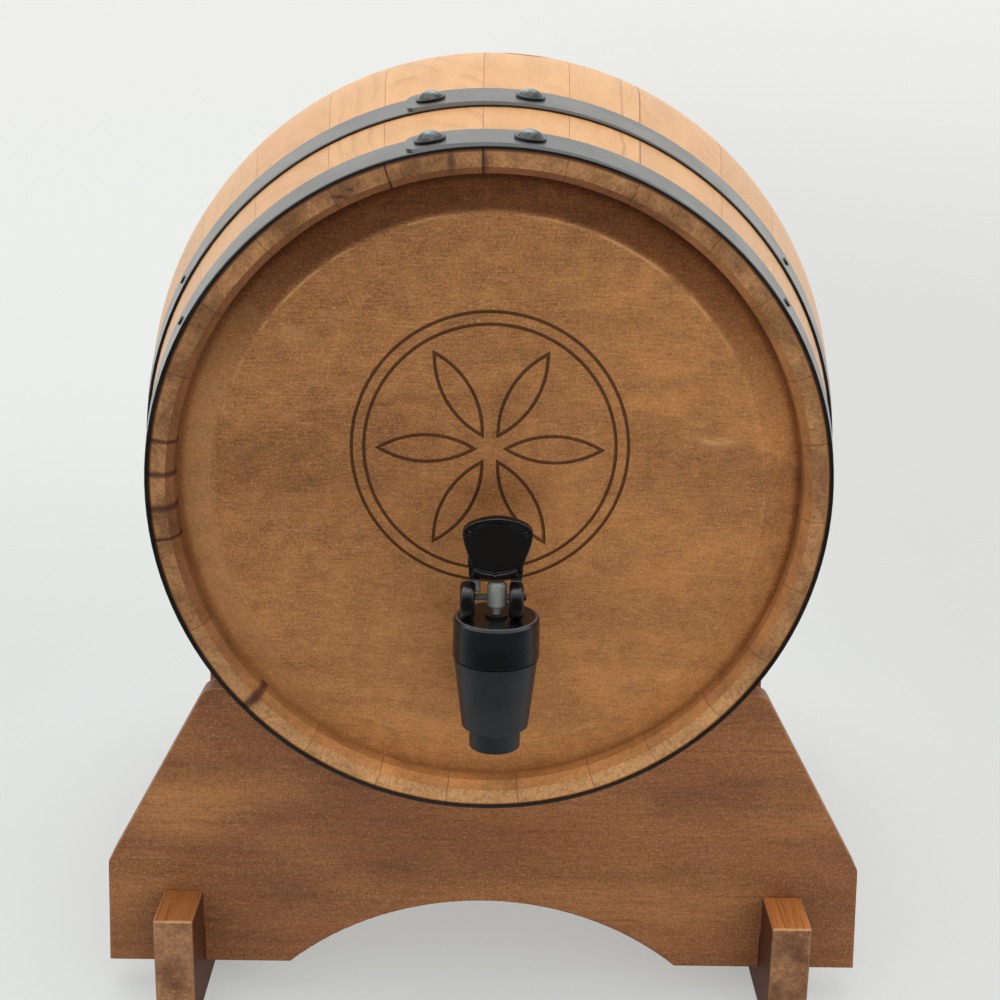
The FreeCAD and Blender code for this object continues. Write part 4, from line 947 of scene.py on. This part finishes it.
def make_lever():
    """Lever moulded in one: paddle, lip, cheeks and arms, fused and eased."""
    mesh = bmesh.new()
    add_paddle(mesh)
    add_lip(mesh)
    for side in (-1, 1):
        add_cheek(mesh, side)
        add_arm(mesh, side)
    mesh.transform(Matrix.Translation(PIN) @ Matrix.Scale(MM, 4))
    bmesh.ops.recalc_face_normals(mesh, faces=mesh.faces)
    lever = new_piece("lever_moulding", mesh)
    fuse = lever.modifiers.new("fuse", "REMESH")
    fuse.mode = "VOXEL"
    fuse.voxel_size = LEVER_GRAIN
    fuse.use_smooth_shade = True
    ease = lever.modifiers.new("ease", "SMOOTH")
    ease.factor = 0.5
    ease.iterations = 2
    evaluated = lever.evaluated_get(bpy.context.evaluated_depsgraph_get())
    moulded = bpy.data.meshes.new_from_object(evaluated)
    lever.modifiers.clear()
    lever.data = moulded
    lever.data.materials.clear()
    lever.data.materials.append(lever_black)
    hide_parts("lever")
    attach(lever, "lever")


make_lever()


# ---------------------------------------------------------------- the seat cup

CUP_WELD = 0.01 * MM


def make_seat_cup():
    """Soft cup, welded into one skin: its foot holds the stem's button, its flange stays clamped."""
    mesh = bmesh.new()
    mesh.from_mesh(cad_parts["seat_cup"].data)
    bmesh.ops.remove_doubles(mesh, verts=mesh.verts, dist=CUP_WELD)
    cup = new_piece("seat_cup_moulding", mesh)
    cup.data.materials.clear()
    cup.data.materials.append(silicone)
    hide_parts("seat_cup")
    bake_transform(cup)


make_seat_cup()


# ---------------------------------------------------------------- stage, lights and camera

FLOOR_PAINT = paint(226, 228, 229)
FLOOR_GLOW = 0.42
BACKGROUND_LEFT = paint(235, 238, 235)
BACKGROUND_RIGHT = paint(222, 223, 221)
BACKGROUND_HIGH = paint(239, 239, 235)
NEAR_LEFT_SHADE = paint(240, 241, 241)
FLOOR_GLOSS_FRONT = 0.06
FLOOR_GLOSS_BACK = 1.5
# Distances from the stage's middle over which the floor goes over to its painted tone, and then to
# the backdrop's one tone.
OWN_TONE_REACH = (0.10, 0.35)
BACKDROP_REACH = (1.3, 3.0)
STAGE_MIDDLE_Y = 0.02

STAGE_FRONT = -3.0
STAGE_REAR = 1.4
STAGE_HALF = 3.5
SWEEP_RADIUS = 0.8
SWEEP_STEPS = 16
WALL_TOP = 3.2

AIR_LIGHT = 0.95
AIR_TINT = (1.0, 0.995, 0.985, 1.0)


def stage_finish():
    """Matt white sheet. Far from the object it shows the even white of a lit backdrop."""
    finish = Finish("stage_white")
    x, y, z = finish.place()
    # painted light and shade on the backdrop: lighter on the left than the right, and darker on the near
    # left of the floor
    tone = finish.blend(finish.rise(x, -0.15, 0.32), BACKGROUND_LEFT, BACKGROUND_RIGHT)
    tone = finish.blend(finish.rise(z, 0.0, 0.5), tone, BACKGROUND_HIGH)
    near_left = finish.times(finish.fall(y, -0.1, 1.0), finish.fall(x, -0.15, 0.15, 1.0, 0.1))
    tone = finish.shade(tone, near_left, NEAR_LEFT_SHADE)
    radius = finish.length(x, finish.add(y, -STAGE_MIDDLE_Y))
    tone = finish.blend(finish.rise(radius, *BACKDROP_REACH), tone, BACKGROUND_HIGH)

    # the sheet glows only to the camera and in gloss, so it lights nothing
    rays = finish.step("ShaderNodeLightPath").outputs
    mirrored = finish.rise(y, -0.5, 0.5, FLOOR_GLOSS_FRONT, FLOOR_GLOSS_BACK)
    power = finish.add(rays["Is Camera Ray"], finish.times(rays["Is Glossy Ray"], mirrored))
    away = finish.rise(radius, *OWN_TONE_REACH, FLOOR_GLOW, 1.0)
    in_front = finish.fall(y, -0.30, -0.17)
    shown = finish.add(finish.times(rays["Is Camera Ray"], away),
                       finish.times(rays["Is Glossy Ray"], finish.most(away, in_front)))
    matt = finish.step("ShaderNodeBsdfDiffuse", {"Color": FLOOR_PAINT})
    lit = finish.step("ShaderNodeEmission", {"Color": tone, "Strength": power})
    mix = finish.step("ShaderNodeMixShader", {0: shown, 1: matt.outputs[0], 2: lit.outputs[0]})
    finish.step("ShaderNodeOutputMaterial", {"Surface": mix.outputs[0]})
    finish.material.cycles.emission_sampling = "NONE"
    return finish.material


def make_stage():
    """One seamless sheet: floor, a long sweep and a wall."""
    profile = [(STAGE_FRONT, 0.0), (STAGE_REAR, 0.0)]
    for i in range(1, SWEEP_STEPS + 1):
        turn = math.pi / 2 * i / SWEEP_STEPS
        profile.append((STAGE_REAR + SWEEP_RADIUS * math.sin(turn),
                        SWEEP_RADIUS - SWEEP_RADIUS * math.cos(turn)))
    profile.append((STAGE_REAR + SWEEP_RADIUS, WALL_TOP))
    mesh = bmesh.new()
    rows = [[mesh.verts.new((x, y, z)) for y, z in profile] for x in (-STAGE_HALF, STAGE_HALF)]
    for i in range(len(profile) - 1):
        face = mesh.faces.new((rows[0][i], rows[1][i], rows[1][i + 1], rows[0][i + 1]))
        face.smooth = True
    stage = new_piece("stage", mesh)
    stage.data.materials.append(stage_finish())


class Air(Finish):
    """The same steps, for the air round the stage."""

    def __init__(self, name):
        self.world = bpy.data.worlds.new(name)
        self.mix_in(self.world)


def make_air():
    """Studio air: even light on matt things; in gloss a dark room in front and white overhead."""
    air = Air("studio")
    x, y, z = air.split(air.step("ShaderNodeTexCoord").outputs["Generated"])
    overhead = air.rise(air.maths("MULTIPLY_ADD", y, 0.55, z), -0.1, 0.75, 0.04, 2.0)
    side_panels = air.rise(air.absolute(x), 0.45, 0.85, 0.0, 0.5)
    even = air.step("ShaderNodeBackground", {"Color": AIR_TINT, "Strength": AIR_LIGHT})
    mirrored = air.step("ShaderNodeBackground", {"Strength": air.add(overhead, side_panels)})
    seen = air.step("ShaderNodeBackground", {"Color": BACKGROUND_HIGH})
    rays = air.step("ShaderNodeLightPath").outputs
    lit = air.step("ShaderNodeMixShader",
                   {0: rays["Is Glossy Ray"], 1: even.outputs[0], 2: mirrored.outputs[0]})
    shown = air.step("ShaderNodeMixShader",
                     {0: rays["Is Camera Ray"], 1: lit.outputs[0], 2: seen.outputs[0]})
    air.step("ShaderNodeOutputWorld", {"Surface": shown.outputs[0]})
    air.world.cycles.sampling_method = "NONE"
    bpy.context.scene.world = air.world


def soft_light(name, place, target, size, power, in_gloss=True):
    light = bpy.data.lights.new(name, "AREA")
    light.shape = "RECTANGLE"
    light.size, light.size_y = size
    light.energy = power
    lamp = bpy.data.objects.new(name, light)
    lamp.location = place
    lamp.rotation_euler = (Vector(target) - Vector(place)).to_track_quat("-Z", "Y").to_euler()
    lamp.visible_glossy = in_gloss
    bpy.context.scene.collection.objects.link(lamp)


CAMERA_PLACE = (-0.0005, -0.6414, 0.3516)
CAMERA_ANGLES = (0.448, 16.385, 0.956)    # yaw, pitch down and roll, in degrees
CAMERA_LENS = 59.4
CAMERA_SENSOR = 36.0


def set_camera():
    yaw, pitch, roll = (math.radians(angle) for angle in CAMERA_ANGLES)
    forward = Vector((math.sin(yaw) * math.cos(pitch), math.cos(yaw) * math.cos(pitch), -math.sin(pitch)))
    right = Vector((math.cos(yaw), -math.sin(yaw), 0.0))
    up = right.cross(forward)
    side = math.cos(roll) * right + math.sin(roll) * up
    top = math.cos(roll) * up - math.sin(roll) * right
    turn = Matrix((side, top, -forward)).transposed()
    lens = bpy.data.cameras.new("camera")
    lens.sensor_width = CAMERA_SENSOR
    lens.lens = CAMERA_LENS
    camera = bpy.data.objects.new("camera", lens)
    camera.matrix_world = Matrix.Translation(CAMERA_PLACE) @ turn.to_4x4()
    bpy.context.scene.collection.objects.link(camera)
    bpy.context.scene.camera = camera


make_stage()
make_air()
soft_light("key", (-0.20, 0.10, 1.50), (0.0, 0.0, 0.15), (1.6, 1.6), 9.0)
soft_light("bounce", (0.45, -1.10, 0.18), (0.0, -0.1, 0.12), (0.9, 0.4), 2.0, in_gloss=False)
set_camera()
bpy.context.scene.view_settings.view_transform = "Standard"
